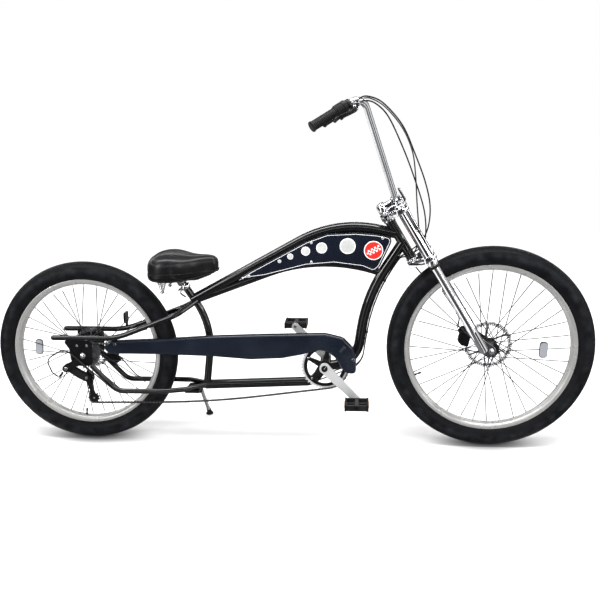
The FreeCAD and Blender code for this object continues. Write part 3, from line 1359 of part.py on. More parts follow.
def check_and_write():
    """Leans every piece, checks it and writes it to its own file."""
    doc.recompute()
    leaning = lean()
    for item, place in PIECES.values():
        item.Placement = leaning.multiply(place)
    doc.recompute()
    for item in doc.Objects:
        if "Invalid" in item.State or "Error" in item.State:
            raise RuntimeError(f"{item.Label} failed: {item.State}")
    os.makedirs("parts", exist_ok=True)
    for label, (item, _) in PIECES.items():
        shape = item.Shape
        if shape.isNull() or not shape.isValid():
            raise RuntimeError(f"{label} has no valid shape")
        shape.exportStep(f"parts/{label}.step")
        bounds = shape.BoundBox
        print(f"{label}: {len(shape.Solids)} solids, x {bounds.XMin:.0f} to {bounds.XMax:.0f}, "
              f"z {bounds.ZMin:.1f} to {bounds.ZMax:.0f}")


build()
check_and_write()
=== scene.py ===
"""Looks of a long black chopper bicycle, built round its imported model.

Sizes are millimetres in the bicycle's upright frame: X forward from the rear axle, Y to the
rider's left, Z up from the ground. Upright turns them onto the side stand, into the row frame.
"""
from __future__ import annotations

import json
import logging
import math
from dataclasses import dataclass
from enum import Enum
from typing import Callable, Sequence

import bmesh
import bpy
from mathutils import Matrix, Vector

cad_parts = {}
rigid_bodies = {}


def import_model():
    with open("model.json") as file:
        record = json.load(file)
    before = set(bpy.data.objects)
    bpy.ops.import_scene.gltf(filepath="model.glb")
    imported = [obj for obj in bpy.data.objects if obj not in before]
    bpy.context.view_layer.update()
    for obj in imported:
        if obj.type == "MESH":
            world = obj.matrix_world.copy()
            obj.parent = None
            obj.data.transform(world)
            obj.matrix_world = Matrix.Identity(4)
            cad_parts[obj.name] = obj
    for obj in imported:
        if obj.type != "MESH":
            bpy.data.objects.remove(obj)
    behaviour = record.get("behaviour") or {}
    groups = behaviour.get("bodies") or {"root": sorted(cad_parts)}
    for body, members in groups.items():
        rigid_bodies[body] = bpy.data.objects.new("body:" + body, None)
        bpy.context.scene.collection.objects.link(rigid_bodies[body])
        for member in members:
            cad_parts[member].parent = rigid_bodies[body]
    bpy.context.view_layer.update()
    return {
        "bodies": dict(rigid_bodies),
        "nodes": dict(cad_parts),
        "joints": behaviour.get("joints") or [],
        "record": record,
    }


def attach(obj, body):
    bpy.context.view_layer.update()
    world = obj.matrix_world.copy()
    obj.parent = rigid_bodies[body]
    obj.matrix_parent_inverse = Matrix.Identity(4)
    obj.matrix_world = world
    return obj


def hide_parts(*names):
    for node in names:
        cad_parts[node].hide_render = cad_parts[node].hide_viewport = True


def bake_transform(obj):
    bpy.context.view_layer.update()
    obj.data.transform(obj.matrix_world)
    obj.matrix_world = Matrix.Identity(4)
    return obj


log = logging.getLogger("chopper")

MM = 0.001
WHEEL_AXIS = Matrix.Rotation(math.radians(-90), 4, "X")
WHEELBASE = 1534.0
REAR_RADIUS = 352.0
FRONT_RADIUS = 383.0
FRONT_AXLE = (80.85, 0.0, -601.1)

Pair = tuple[float, float]
Triple = tuple[float, float, float]
Quad = tuple[float, float, float, float]


# Shader maths


class Term:
    """Output socket of a shader tree that takes part in arithmetic."""

    def __init__(self, maker: "Maker", socket: bpy.types.NodeSocket) -> None:
        """Keeps the socket and the maker of its tree."""
        self.maker = maker
        self.socket = socket

    def _math(self, operation: str, first: "Term | float", second: "Term | float") -> "Term":
        """Adds one Math node for an operation on two values."""
        return self.maker.node("ShaderNodeMath", {"operation": operation}, {0: first, 1: second})

    def __add__(self, other: "Term | float") -> "Term":
        """Sum."""
        return self._math("ADD", self, other)

    __radd__ = __add__

    def __mul__(self, other: "Term | float") -> "Term":
        """Product."""
        return self._math("MULTIPLY", self, other)

    __rmul__ = __mul__

    def __sub__(self, other: "Term | float") -> "Term":
        """Difference."""
        return self._math("SUBTRACT", self, other)

    def __rsub__(self, other: float) -> "Term":
        """Difference from a number."""
        return self._math("SUBTRACT", other, self)

    def __abs__(self) -> "Term":
        """Absolute value."""
        return self._math("ABSOLUTE", self, 0.0)

    def beside(self, output: int) -> "Term":
        """Another output of the same node."""
        return Term(self.maker, self.socket.node.outputs[output])

    def fraction(self) -> "Term":
        """Part after the decimal point."""
        return self._math("FRACT", self, 0.0)

    def larger(self, other: "Term | float") -> "Term":
        """Larger of two values."""
        return self._math("MAXIMUM", self, other)

    def ramp(self, low: float, high: float, start: float = 0.0, end: float = 1.0) -> "Term":
        """Value carried from one span to another, held at its ends."""
        return self.maker.node("ShaderNodeMapRange", {"clamp": True}, {
            "Value": self, "From Min": low, "From Max": high, "To Min": start, "To Max": end})


class Maker:
    """One material or one world under construction."""

    def __init__(self, name: str = "", world: bpy.types.World | None = None) -> None:
        """Starts the empty tree of a new material, or of a world if there is one."""
        self.owner = world or bpy.data.materials.new(name)
        self.owner.use_nodes = True
        self.tree = self.owner.node_tree
        self.tree.nodes.clear()

    def node(self, kind: str, settings: dict | None = None, values: dict | None = None,
             output: int | str | None = 0) -> Term | None:
        """Adds a node.

        Args:
            kind: type of the node.
            settings: its own settings, made first.
            values: numbers, colours or terms for its input sockets.
            output: the output that is returned, None for a node that has none.

        Returns:
            The chosen output.
        """
        item = self.tree.nodes.new(kind)
        for key, value in (settings or {}).items():
            setattr(item, key, value)
        for key, value in (values or {}).items():
            if isinstance(value, Term):
                self.tree.links.new(value.socket, item.inputs[key])
            else:
                item.inputs[key].default_value = value
        return None if output is None else Term(self, item.outputs[output])

    def local(self) -> Term:
        """Coordinates of the piece itself, in metres."""
        return self.node("ShaderNodeTexCoord", output="Object")

    def chart(self) -> tuple[Term, Term]:
        """Two coordinates laid along a turned or swept surface, round and along it."""
        split = self.node("ShaderNodeSeparateXYZ", {}, {0: self.node("ShaderNodeTexCoord", output="UV")})
        return split, split.beside(1)

    def noise(self, scale: float, detail: float = 3.0, stretch: Triple | None = None) -> Term:
        """Smooth noise over the piece, stretched if asked."""
        place = self.local()
        if stretch:
            place = self.node("ShaderNodeMapping", {}, {"Vector": place, "Scale": stretch})
        return self.node("ShaderNodeTexNoise", {}, {"Vector": place, "Scale": scale, "Detail": detail})

    def blend(self, share: Term, first: "Term | Triple", second: "Term | Triple") -> Term:
        """Colour between two colours."""
        pair = [value if isinstance(value, Term) else (*value, 1.0) for value in (first, second)]
        return self.node("ShaderNodeMix", {"data_type": "RGBA"}, {
            0: share, 6: pair[0], 7: pair[1]}, output=2)

    def bump(self, height: Term, depth: float, strength: float = 1.0) -> Term:
        """Relief of a height, depth in metres."""
        return self.node("ShaderNodeBump", {}, {
            "Height": height, "Distance": depth, "Strength": strength})

    def close(self, **values: object) -> bpy.types.Material:
        """Ends the tree in a principled surface whose inputs are named with underscores."""
        named = {key.replace("_", " "): value for key, value in values.items()}
        surface = self.node("ShaderNodeBsdfPrincipled", {}, named)
        self.node("ShaderNodeOutputMaterial", {}, {"Surface": surface}, output=None)
        return self.owner


# Finishes


@dataclass(frozen=True)
class Enamel:
    """Sprayed gloss paint with a clear coat and a faint ripple in it."""

    colour: Triple
    roughness: float = 0.28
    coat: float = 1.0
    ripple: float = 0.00004

    def build(self, name: str) -> bpy.types.Material:
        """Material of this paint."""
        maker = Maker(name)
        ripple = maker.noise(45.0, 2.0)
        dust = maker.noise(9.0, 4.0)
        shade = tuple(min(1.0, value * 1.5 + 0.002) for value in self.colour)
        return maker.close(
            Base_Color=maker.blend(dust.ramp(0.45, 0.8), self.colour, shade),
            Roughness=dust.ramp(0.3, 0.8, self.roughness * 0.85, self.roughness * 1.25),
            Specular_IOR_Level=0.03, Coat_Weight=self.coat, Coat_Roughness=0.03,
            Normal=maker.bump(ripple, self.ripple))


@dataclass(frozen=True)
class Plate:
    """Bright metal, polished or brushed, with light smears on it."""

    colour: Triple
    roughness: float = 0.06
    smear: float = 0.08
    brush: float = 0.0
    along: Triple = (1.0, 1.0, 1.0)
    metal: float = 1.0

    def build(self, name: str) -> bpy.types.Material:
        """Material of this metal."""
        maker = Maker(name)
        smear = maker.noise(14.0, 5.0)
        dull = tuple(value * 0.86 for value in self.colour)
        values = {
            "Base_Color": maker.blend(smear.ramp(0.4, 0.75), self.colour, dull),
            "Metallic": self.metal,
            "Roughness": smear.ramp(0.35, 0.75, self.roughness, self.roughness + self.smear)}
        if self.brush:
            lines = maker.noise(420.0, 2.0, self.along)
            values["Normal"] = maker.bump(lines, self.brush)
        return maker.close(**values)


@dataclass(frozen=True)
class Moulded:
    """Moulded plastic or rubber with a fine grain."""

    colour: Triple
    roughness: float = 0.5
    grain: float = 0.00008
    scale: float = 900.0

    def build(self, name: str) -> bpy.types.Material:
        """Material of this moulding."""
        maker = Maker(name)
        grain = maker.noise(self.scale, 2.0)
        wear = maker.noise(11.0, 4.0)
        pale = tuple(value * 1.5 + 0.004 for value in self.colour)
        return maker.close(
            Base_Color=maker.blend(wear.ramp(0.4, 0.8), self.colour, pale),
            Roughness=wear.ramp(0.3, 0.8, self.roughness - 0.08, self.roughness + 0.1),
            Specular_IOR_Level=0.2, Normal=maker.bump(grain, self.grain))


@dataclass(frozen=True)
class TyreRubber:
    """Tyre rubber: a tread of slanted blocks between the shoulders, fine rings on the walls."""

    colour: Triple = (0.0045, 0.0048, 0.0056)
    blocks: float = 96.0

    def build(self, name: str) -> bpy.types.Material:
        """Material of the tyre."""
        maker = Maker(name)
        turn, across = maker.chart()
        middle = abs(across - 0.5)
        inside = middle.ramp(0.145, 0.155, 1.0, 0.0)
        slant = (turn * self.blocks + middle * 22.0).fraction()
        bars = slant.ramp(0.30, 0.36, 0.0, 1.0) * slant.ramp(0.94, 1.0, 1.0, 0.0)
        rows = (middle * 26.0).fraction()
        gaps = rows.ramp(0.1, 0.2, 0.0, 1.0) * rows.ramp(0.9, 1.0, 1.0, 0.0)
        blocks = bars * gaps * inside
        rings = (middle * 90.0).fraction().ramp(0.35, 0.65) * middle.ramp(0.36, 0.39)
        skin = maker.noise(260.0, 3.0)
        height = blocks * 1.0 + rings * 0.22 + skin * 0.05
        dust = maker.noise(26.0, 6.0)
        # painted_sheen: a lighter band across the middle of each wall, a painted highlight in the base
        # colour
        painted_sheen = middle.ramp(0.17, 0.22) * middle.ramp(0.27, 0.33, 1.0, 0.0)
        # pale: the lighter rubber tone, used for the random mottle and for the painted sheen band
        pale = tuple(value * 3.4 for value in self.colour)
        return maker.close(
            Base_Color=maker.blend(dust.ramp(0.38, 0.72) * (painted_sheen * 0.75 + 0.25), self.colour, pale),
            Roughness=dust.ramp(0.3, 0.8, 0.36, 0.52), Specular_IOR_Level=0.06,
            Normal=maker.bump(height, 0.0014))


@dataclass(frozen=True)
class Vinyl:
    """Saddle cover: smooth stretched vinyl with a leather grain."""

    colour: Triple = (0.005, 0.005, 0.0055)

    def build(self, name: str) -> bpy.types.Material:
        """Material of the cover."""
        maker = Maker(name)
        cells = maker.node("ShaderNodeTexVoronoi", {"feature": "DISTANCE_TO_EDGE"}, {
            "Vector": maker.local(), "Scale": 420.0})
        creases = cells.ramp(0.0, 0.12)
        folds = maker.noise(18.0, 3.0)
        height = creases * 0.4 + folds * 0.3
        return maker.close(
            Base_Color=maker.blend(folds.ramp(0.4, 0.8), self.colour, (0.009, 0.009, 0.01)),
            Roughness=folds.ramp(0.3, 0.8, 0.34, 0.46), Specular_IOR_Level=0.03, Coat_Weight=0.4,
            Coat_Roughness=0.26, Normal=maker.bump(height, 0.00018))


@dataclass(frozen=True)
class Lens:
    """Reflector lens: coloured plastic with a grid of small prisms behind a smooth face."""

    colour: Triple
    pitch: float = 380.0

    def build(self, name: str) -> bpy.types.Material:
        """Material of the lens."""
        maker = Maker(name)
        cells = maker.node("ShaderNodeTexVoronoi", {"feature": "F1"}, {
            "Vector": maker.local(), "Scale": self.pitch, "Randomness": 0.0})
        dark = tuple(value * 0.55 for value in self.colour)
        return maker.close(
            Base_Color=maker.blend(cells.ramp(0.2, 0.6), self.colour, dark), Roughness=0.16,
            Coat_Weight=1.0, Coat_Roughness=0.04, Normal=maker.bump(cells, 0.0006))


@dataclass(frozen=True)
class BrakeDisc:
    """Ground steel brake disc, open where its cooling holes are."""

    colour: Triple = (0.62, 0.63, 0.65)

    def build(self, name: str) -> bpy.types.Material:
        """Material of the disc."""
        maker = Maker(name)
        turn, lap = maker.chart()
        out = lap.ramp(0.0, 0.25) * lap.ramp(0.5, 0.75, 1.0, 0.0)
        lanes = (out * 2.0 + (turn * 36.0).fraction().ramp(0.49, 0.51)).fraction()
        round_hole = (turn * 72.0).fraction() - 0.5
        ring_hole = lanes - 0.5
        reach = round_hole * round_hole * 3.2 + ring_hole * ring_hole * 4.0
        scratch = maker.noise(160.0, 4.0)
        return maker.close(
            Base_Color=maker.blend(scratch, self.colour, (0.45, 0.46, 0.48)), Metallic=1.0,
            Roughness=scratch.ramp(0.3, 0.7, 0.2, 0.34), Alpha=reach.ramp(0.24, 0.26),
            Normal=maker.bump(scratch, 0.00005))


class Look(Enum):
    """Finishes of the bicycle."""

    PAINT = Enamel((0.0035, 0.0036, 0.0042))
    PANEL = Enamel((0.0055, 0.0072, 0.0135), 0.25)
    GUARD = Enamel((0.006, 0.0085, 0.0145), 0.22)
    WHITE = Enamel((0.86, 0.86, 0.85), 0.3)
    SILVER = Enamel((0.42, 0.43, 0.42), 0.32)
    RED = Enamel((0.72, 0.028, 0.022), 0.3)
    CHROME = Plate((0.82, 0.83, 0.85), 0.03, 0.04)
    POLISHED = Plate((0.40, 0.397, 0.39), 0.24, 0.12, 0.00001, (1.0, 14.0, 1.0), 0.45)
    ALLOY = Plate((0.78, 0.785, 0.79), 0.2, 0.1, 0.0, (1.0, 1.0, 1.0), 0.5)
    STEEL = Plate((0.5, 0.51, 0.53), 0.24, 0.14, 0.00001)
    WIRE = Plate((0.022, 0.022, 0.025), 0.34, 0.1, metal=0.6)
    CHAIN = Plate((0.12, 0.118, 0.115), 0.32, 0.2)
    BLACK_METAL = Enamel((0.006, 0.006, 0.0065), 0.4, 0.35)
    PLASTIC = Moulded((0.007, 0.007, 0.0075), 0.42)
    RUBBER = Moulded((0.007, 0.007, 0.0075), 0.55, 0.00012, 500.0)
    CABLE = Moulded((0.006, 0.006, 0.0065), 0.38, 0.00003)
    TYRE = TyreRubber()
    COVER = Vinyl()
    DISC = BrakeDisc()
    RED_LENS = Lens((0.55, 0.02, 0.015))
    CLEAR_LENS = Lens((0.42, 0.44, 0.47))
    AMBER_LENS = Lens((0.85, 0.3, 0.02))

    def material(self) -> bpy.types.Material:
        """Material of this finish, made once."""
        name = "finish_" + self.name.lower()
        return bpy.data.materials.get(name) or self.value.build(name)


# Shapes


@dataclass(frozen=True)
class Upright:
    """Place of the upright bicycle in the row frame."""

    matrix: Matrix

    @classmethod
    def from_joints(cls, joints: Sequence[dict], rear_radius: float) -> "Upright":
        """Reads the lean and the place from the rear wheel's joint.

        Args:
            joints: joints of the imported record.
            rear_radius: height of the rear axle over the ground.

        Returns:
            The place of the upright frame, with its scale from millimetres.
        """
        rear = next(joint for joint in joints if joint["name"] == "rear_wheel_spin")
        axis = Vector(rear["axis"])
        turn = Matrix.Rotation(-math.atan2(-axis.z, axis.y), 4, "X")
        hub = turn @ Vector((0, 0, rear_radius * MM))
        shift = Matrix.Translation(Vector(rear["pos_m"]) - hub)
        return cls(shift @ turn @ Matrix.Scale(MM, 4))


class Shape:
    """Mesh under construction in its own frame, in millimetres."""

    upright: Upright

    def __init__(self) -> None:
        """Starts an empty mesh."""
        self.points: list[Vector] = []
        self.faces: list[tuple[int, ...]] = []
        self.looks: list[Look] = []
        self.charts: list[list[Pair] | None] = []

    def add(self, points: Sequence[Vector], faces: Sequence[Sequence[int]], look: Look,
            place: Matrix | None = None, charts: Sequence[list[Pair]] | None = None) -> "Shape":
        """Adds points and faces of one finish, moved by a place."""
        start = len(self.points)
        self.points += [place @ point if place else Vector(point) for point in points]
        self.faces += [tuple(start + index for index in face) for face in faces]
        self.looks += [look] * len(faces)
        self.charts += list(charts) if charts else [None] * len(faces)
        return self

    def skin(self, loops: Sequence[Sequence[Vector]], look: Look, place: Matrix | None = None,
             ends: bool = True, closed: bool = False) -> "Shape":
        """Adds a surface over a row of closed loops.

        Args:
            loops: loops of equal length.
            look: finish of the surface.
            place: where it goes.
            ends: closes the first and the last loop.
            closed: joins the last loop to the first.

        Returns:
            This shape.
        """
        count, rows = len(loops[0]), len(loops)
        points = [point for loop in loops for point in loop]
        faces, charts = [], []
        for row in range(rows if closed else rows - 1):
            after = (row + 1) % rows
            for index in range(count):
                following = (index + 1) % count
                faces.append((row * count + index, after * count + index,
                              after * count + following, row * count + following))
                near, far = row / rows, (row + 1) / rows
                low, high = index / count, (index + 1) / count
                charts.append([(near, low), (far, low), (far, high), (near, high)])
        if ends and not closed:
            faces += [tuple(range(count)), tuple(reversed(range((rows - 1) * count, rows * count)))]
            charts += [[(0.0, 0.0)] * count, [(0.0, 0.0)] * count]
        return self.add(points, faces, look, place, charts)

    def lathe(self, outline: Sequence[Pair], look: Look, place: Matrix | None = None, steps: int = 64,
              wave: Callable[[int, int], float] | None = None) -> "Shape":
        """Turns a closed outline of radius and height about Z.

        Args:
            outline: corners of the section.
            look: finish.
            place: where the axis goes.
            steps: flats round the axis.
            wave: extra radius for a step and a corner.

        Returns:
            This shape.
        """
        loops = []
        for step in range(steps):
            angle = 2 * math.pi * step / steps
            way = Vector((math.cos(angle), math.sin(angle), 0))
            loops.append([way * (radius + (wave(step, index) if wave else 0.0)) + Vector((0, 0, height))
                          for index, (radius, height) in enumerate(outline)])
        return self.skin(loops, look, place, closed=True)

    def turned(self, outline: Sequence[Pair], look: Look, base: Vector, way: Vector,
               steps: int = 32) -> "Shape":
        """Turns an outline that starts and ends on the axis, from a base point along a direction."""
        closed = [(max(radius, 0.01), height) for radius, height in outline]
        return self.lathe(closed, look, along(base, way), steps)

    def rod(self, base: Vector, tip: Vector, radius: float, look: Look, steps: int = 24,
            edge: float = 0.6) -> "Shape":
        """Adds a rod with softened ends."""
        length = (tip - base).length
        soft = min(edge, radius * 0.4, length * 0.3)
        outline = ((0, 0), (radius - soft, 0), (radius, soft), (radius, length - soft),
                   (radius - soft, length), (0, length))
        return self.turned(outline, look, base, tip - base, steps)

    def stack(self, base: Vector, way: Vector, rows: Sequence[tuple]) -> "Shape":
        """Adds rods on one axis: start, end, radius, finish, flats and edge of each."""
        for start, end, *rest in rows:
            self.rod(base + way * start, base + way * end, *rest)
        return self

    def tube(self, path: Sequence[Vector], radius: float, look: Look, sides: int = 28,
             place: Matrix | None = None) -> "Shape":
        """Adds a round bar along a path."""
        return self.section(path, circle(radius, sides), look, place)

    def section(self, path: Sequence[Vector], outline: Sequence[Pair], look: Look,
                place: Matrix | None = None) -> "Shape":
        """Adds a bar of any section along a path."""
        loops = []
        ways = headings(path)
        side = ways[0].orthogonal().normalized()
        for point, way in zip(path, ways):
            side = (side - way * side.dot(way)).normalized()
            up = way.cross(side)
            loops.append([point + side * a + up * b for a, b in outline])
        return self.skin(loops, look, place)

    def plate(self, outline: Sequence[Pair], low: float, thick: float, look: Look,
              place: Matrix | None = None) -> "Shape":
        """Adds a flat plate from corners in the side plane, between two heights of Y."""
        loops = [[Vector((x, y, z)) for x, z in outline] for y in (low, low + thick)]
        return self.skin(loops, look, place)

    def slab(self, outline: Sequence[Pair], rows: Sequence[Pair], look: Look, low: float = 0.0,
             side: int = 1) -> "Shape":
        """Adds a slab of one outline from rows of inset and height above a low face of Y."""
        return self.skin([[Vector((x, side * (low + height), z)) for x, z in shrink(outline, inset)]
                          for inset, height in rows], look)

    def block(self, low: Triple, high: Triple, look: Look, place: Matrix | None = None) -> "Shape":
        """Adds a box between two corners."""
        outline = ((low[0], low[2]), (high[0], low[2]), (high[0], high[2]), (low[0], high[2]))
        return self.plate(outline, low[1], high[1] - low[1], look, place)

    def bead(self, path: Sequence[Vector], radius: float, look: Look, ripple: float = 0.0) -> "Shape":
        """Adds a round bead along a closed path, with ripples if asked."""
        centre = sum(path, Vector()) / len(path)
        loops = []
        for index, point in enumerate(path):
            way = (path[(index + 1) % len(path)] - path[index - 1]).normalized()
            out = point - centre
            out = (out - way * out.dot(way)).normalized()
            up = way.cross(out)
            size = radius + ripple * (index % 3)
            loops.append([point + out * a + up * b for a, b in circle(size, 8)])
        return self.skin(loops, look, closed=True)

    def piece(self, name: str, body: str, replaced: Sequence[str] = (), slot: str = "",
              bevel: float = 0.0, rounds: int = 0, place: Matrix | None = None,
              crease: float = 38.0) -> bpy.types.Object:
        """Makes the object and hangs it on its body.

        Args:
            name: name of the piece.
            body: body that it rides on.
            replaced: nodes that it stands for.
            slot: material slot of the record, not used.
            bevel: width of the softened edges.
            rounds: levels of subdivision.
            place: frame of the mesh in the upright bicycle.
            crease: angle above which an edge stays sharp.

        Returns:
            The finished object.
        """
        item = self.item(name, [point * MM for point in self.points], crease)
        whole = self.upright.matrix @ (place or Matrix.Identity(4))
        item.matrix_world = whole @ Matrix.Scale(1 / MM, 4)
        if bevel:
            soft = item.modifiers.new("soft_edges", "BEVEL")
            soft.width = bevel * MM
            soft.segments = 2
            soft.limit_method = "ANGLE"
            soft.angle_limit = math.radians(crease)
            soft.use_clamp_overlap = True
        if rounds:
            smooth = item.modifiers.new("rounding", "SUBSURF")
            smooth.levels = smooth.render_levels = rounds
        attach(item, body)
        if replaced:
            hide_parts(*replaced)
        log.info("%s on %s: %d faces", name, body, len(item.data.polygons))
        return item

    def item(self, name: str, points: Sequence[Vector], crease: float) -> bpy.types.Object:
        """Object of this mesh with its finishes, from points in metres."""
        mesh = bpy.data.meshes.new(name)
        mesh.from_pydata(points, [], self.faces)
        looks = list(dict.fromkeys(self.looks))
        for look in looks:
            mesh.materials.append(look.material())
        layer = mesh.uv_layers.new(name="chart")
        for polygon, look, chart in zip(mesh.polygons, self.looks, self.charts):
            polygon.material_index = looks.index(look)
            for loop, pair in zip(polygon.loop_indices, chart or []):
                layer.data[loop].uv = pair
        tidy(mesh)
        mesh.shade_smooth()
        mesh.set_sharp_from_angle(angle=math.radians(crease))
        item = bpy.data.objects.new(name, mesh)
        bpy.context.scene.collection.objects.link(item)
        return item

    def blended(self, name: str, bodies: tuple[str, str], ends: tuple[Vector, Vector],
                slot: str) -> bpy.types.Object:
        """Makes an object of the mesh, fixed in the row frame; it is hung on neither body.

        Args:
            name: name of the piece.
            bodies: body at the start and body at the end.
            ends: points of the upright frame where the blend would start and end, moved into the row
                frame but not used further.
            slot: material slot of the record, not used.

        Returns:
            The finished object.
        """
        item = self.item(name, [self.upright.matrix @ point for point in self.points], 60)
        start, end = (self.upright.matrix @ point for point in ends)
        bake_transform(item)
        log.info("%s between %s: %d faces", name, " and ".join(bodies), len(item.data.polygons))
        return item


def tidy(mesh: bpy.types.Mesh) -> None:
    """Merges the points on an axis and makes the faces look outward."""
    work = bmesh.new()
    work.from_mesh(mesh)
    bmesh.ops.dissolve_degenerate(work, dist=1e-6, edges=work.edges[:])
    bmesh.ops.recalc_face_normals(work, faces=work.faces[:])
    work.to_mesh(mesh)
    work.free()


def circle(radius: float, sides: int) -> list[Pair]:
    """Points round a circle."""
    turns = [2 * math.pi * index / sides for index in range(sides)]
    return [(radius * math.cos(turn), radius * math.sin(turn)) for turn in turns]


def along(base: Vector, way: Vector) -> Matrix:
    """Frame at a base point whose Z runs along a direction."""
    turn = way.to_track_quat("Z", "Y").to_matrix().to_4x4()
    return Matrix.Translation(base) @ turn


def headings(path: Sequence[Vector]) -> list[Vector]:
    """Direction at each point of a path."""
    ways = []
    for index in range(len(path)):
        before, after = path[max(index - 1, 0)], path[min(index + 1, len(path) - 1)]
        ways.append((after - before).normalized())
    return ways


def rounded(corners: Sequence[Vector], radii: Sequence[float], step: float = 4.0) -> list[Vector]:
    """Path of straight runs joined by tangent arcs.

    Args:
        corners: corners of the path.
        radii: bend radius at each inner corner.
        step: angle between two points of an arc, in degrees.

    Returns:
        Points along the path.
    """
    path = [corners[0]]
    for before, corner, after, radius in zip(corners, corners[1:], corners[2:], radii):
        into, out = (corner - before).normalized(), (after - corner).normalized()
        turn = into.angle(out)
        reach = radius * math.tan(turn / 2)
        entry = corner - into * reach
        inward = (out - into * into.dot(out)).normalized()
        centre = entry + inward * radius
        count = max(2, math.ceil(math.degrees(turn) / step))
        for index in range(count + 1):
            angle = turn * index / count
            path.append(centre - inward * radius * math.cos(angle) + into * radius * math.sin(angle))
    return path + [corners[-1]]


def soft_outline(corners: Sequence[Pair], radius: float, count: int = 6) -> list[Pair]:
    """Outline whose corners are rounded, each by at most 0.45 of its shorter side."""
    outline = []
    total = len(corners)
    for index, corner in enumerate(corners):
        here = Vector(corner)
        before, after = Vector(corners[index - 1]), Vector(corners[(index + 1) % total])
        into, out = here - before, after - here
        turn = into.angle(out)
        if turn < 0.02:
            outline.append(corner)
            continue
        reach = min(radius * math.tan(turn / 2), 0.45 * min(into.length, out.length))
        first, last = here - into.normalized() * reach, here + out.normalized() * reach
        for step in range(count + 1):
            share = step / count
            point = first.lerp(here, share).lerp(here.lerp(last, share), share)
            outline.append((point.x, point.y))
    return outline


def flowing(points: Sequence[Vector], count: int = 8) -> list[Vector]:
    """Smooth route through given points."""
    route = []
    ends = [points[0] * 2 - points[1], *points, points[-1] * 2 - points[-2]]
    for a, b, c, d in zip(ends, ends[1:], ends[2:], ends[3:]):
        for step in range(count):
            t = step / count
            route.append(0.5 * ((2 * b) + (c - a) * t + (2 * a - 5 * b + 4 * c - d) * t * t
                                + (3 * b - a - 3 * c + d) * t ** 3))
    return route + [points[-1]]


def polar(radius: float, degrees: float, height: float = 0.0) -> Vector:
    """Point in a wheel's own frame."""
    angle = math.radians(degrees)
    return Vector((radius * math.cos(angle), radius * math.sin(angle), height))


def axle_frame(x: float, z: float) -> Matrix:
    """Frame of a wheel: Z along the axle to the left, X forward, Y down."""
    return Matrix.Translation((x, 0, z)) @ WHEEL_AXIS


# Wheels


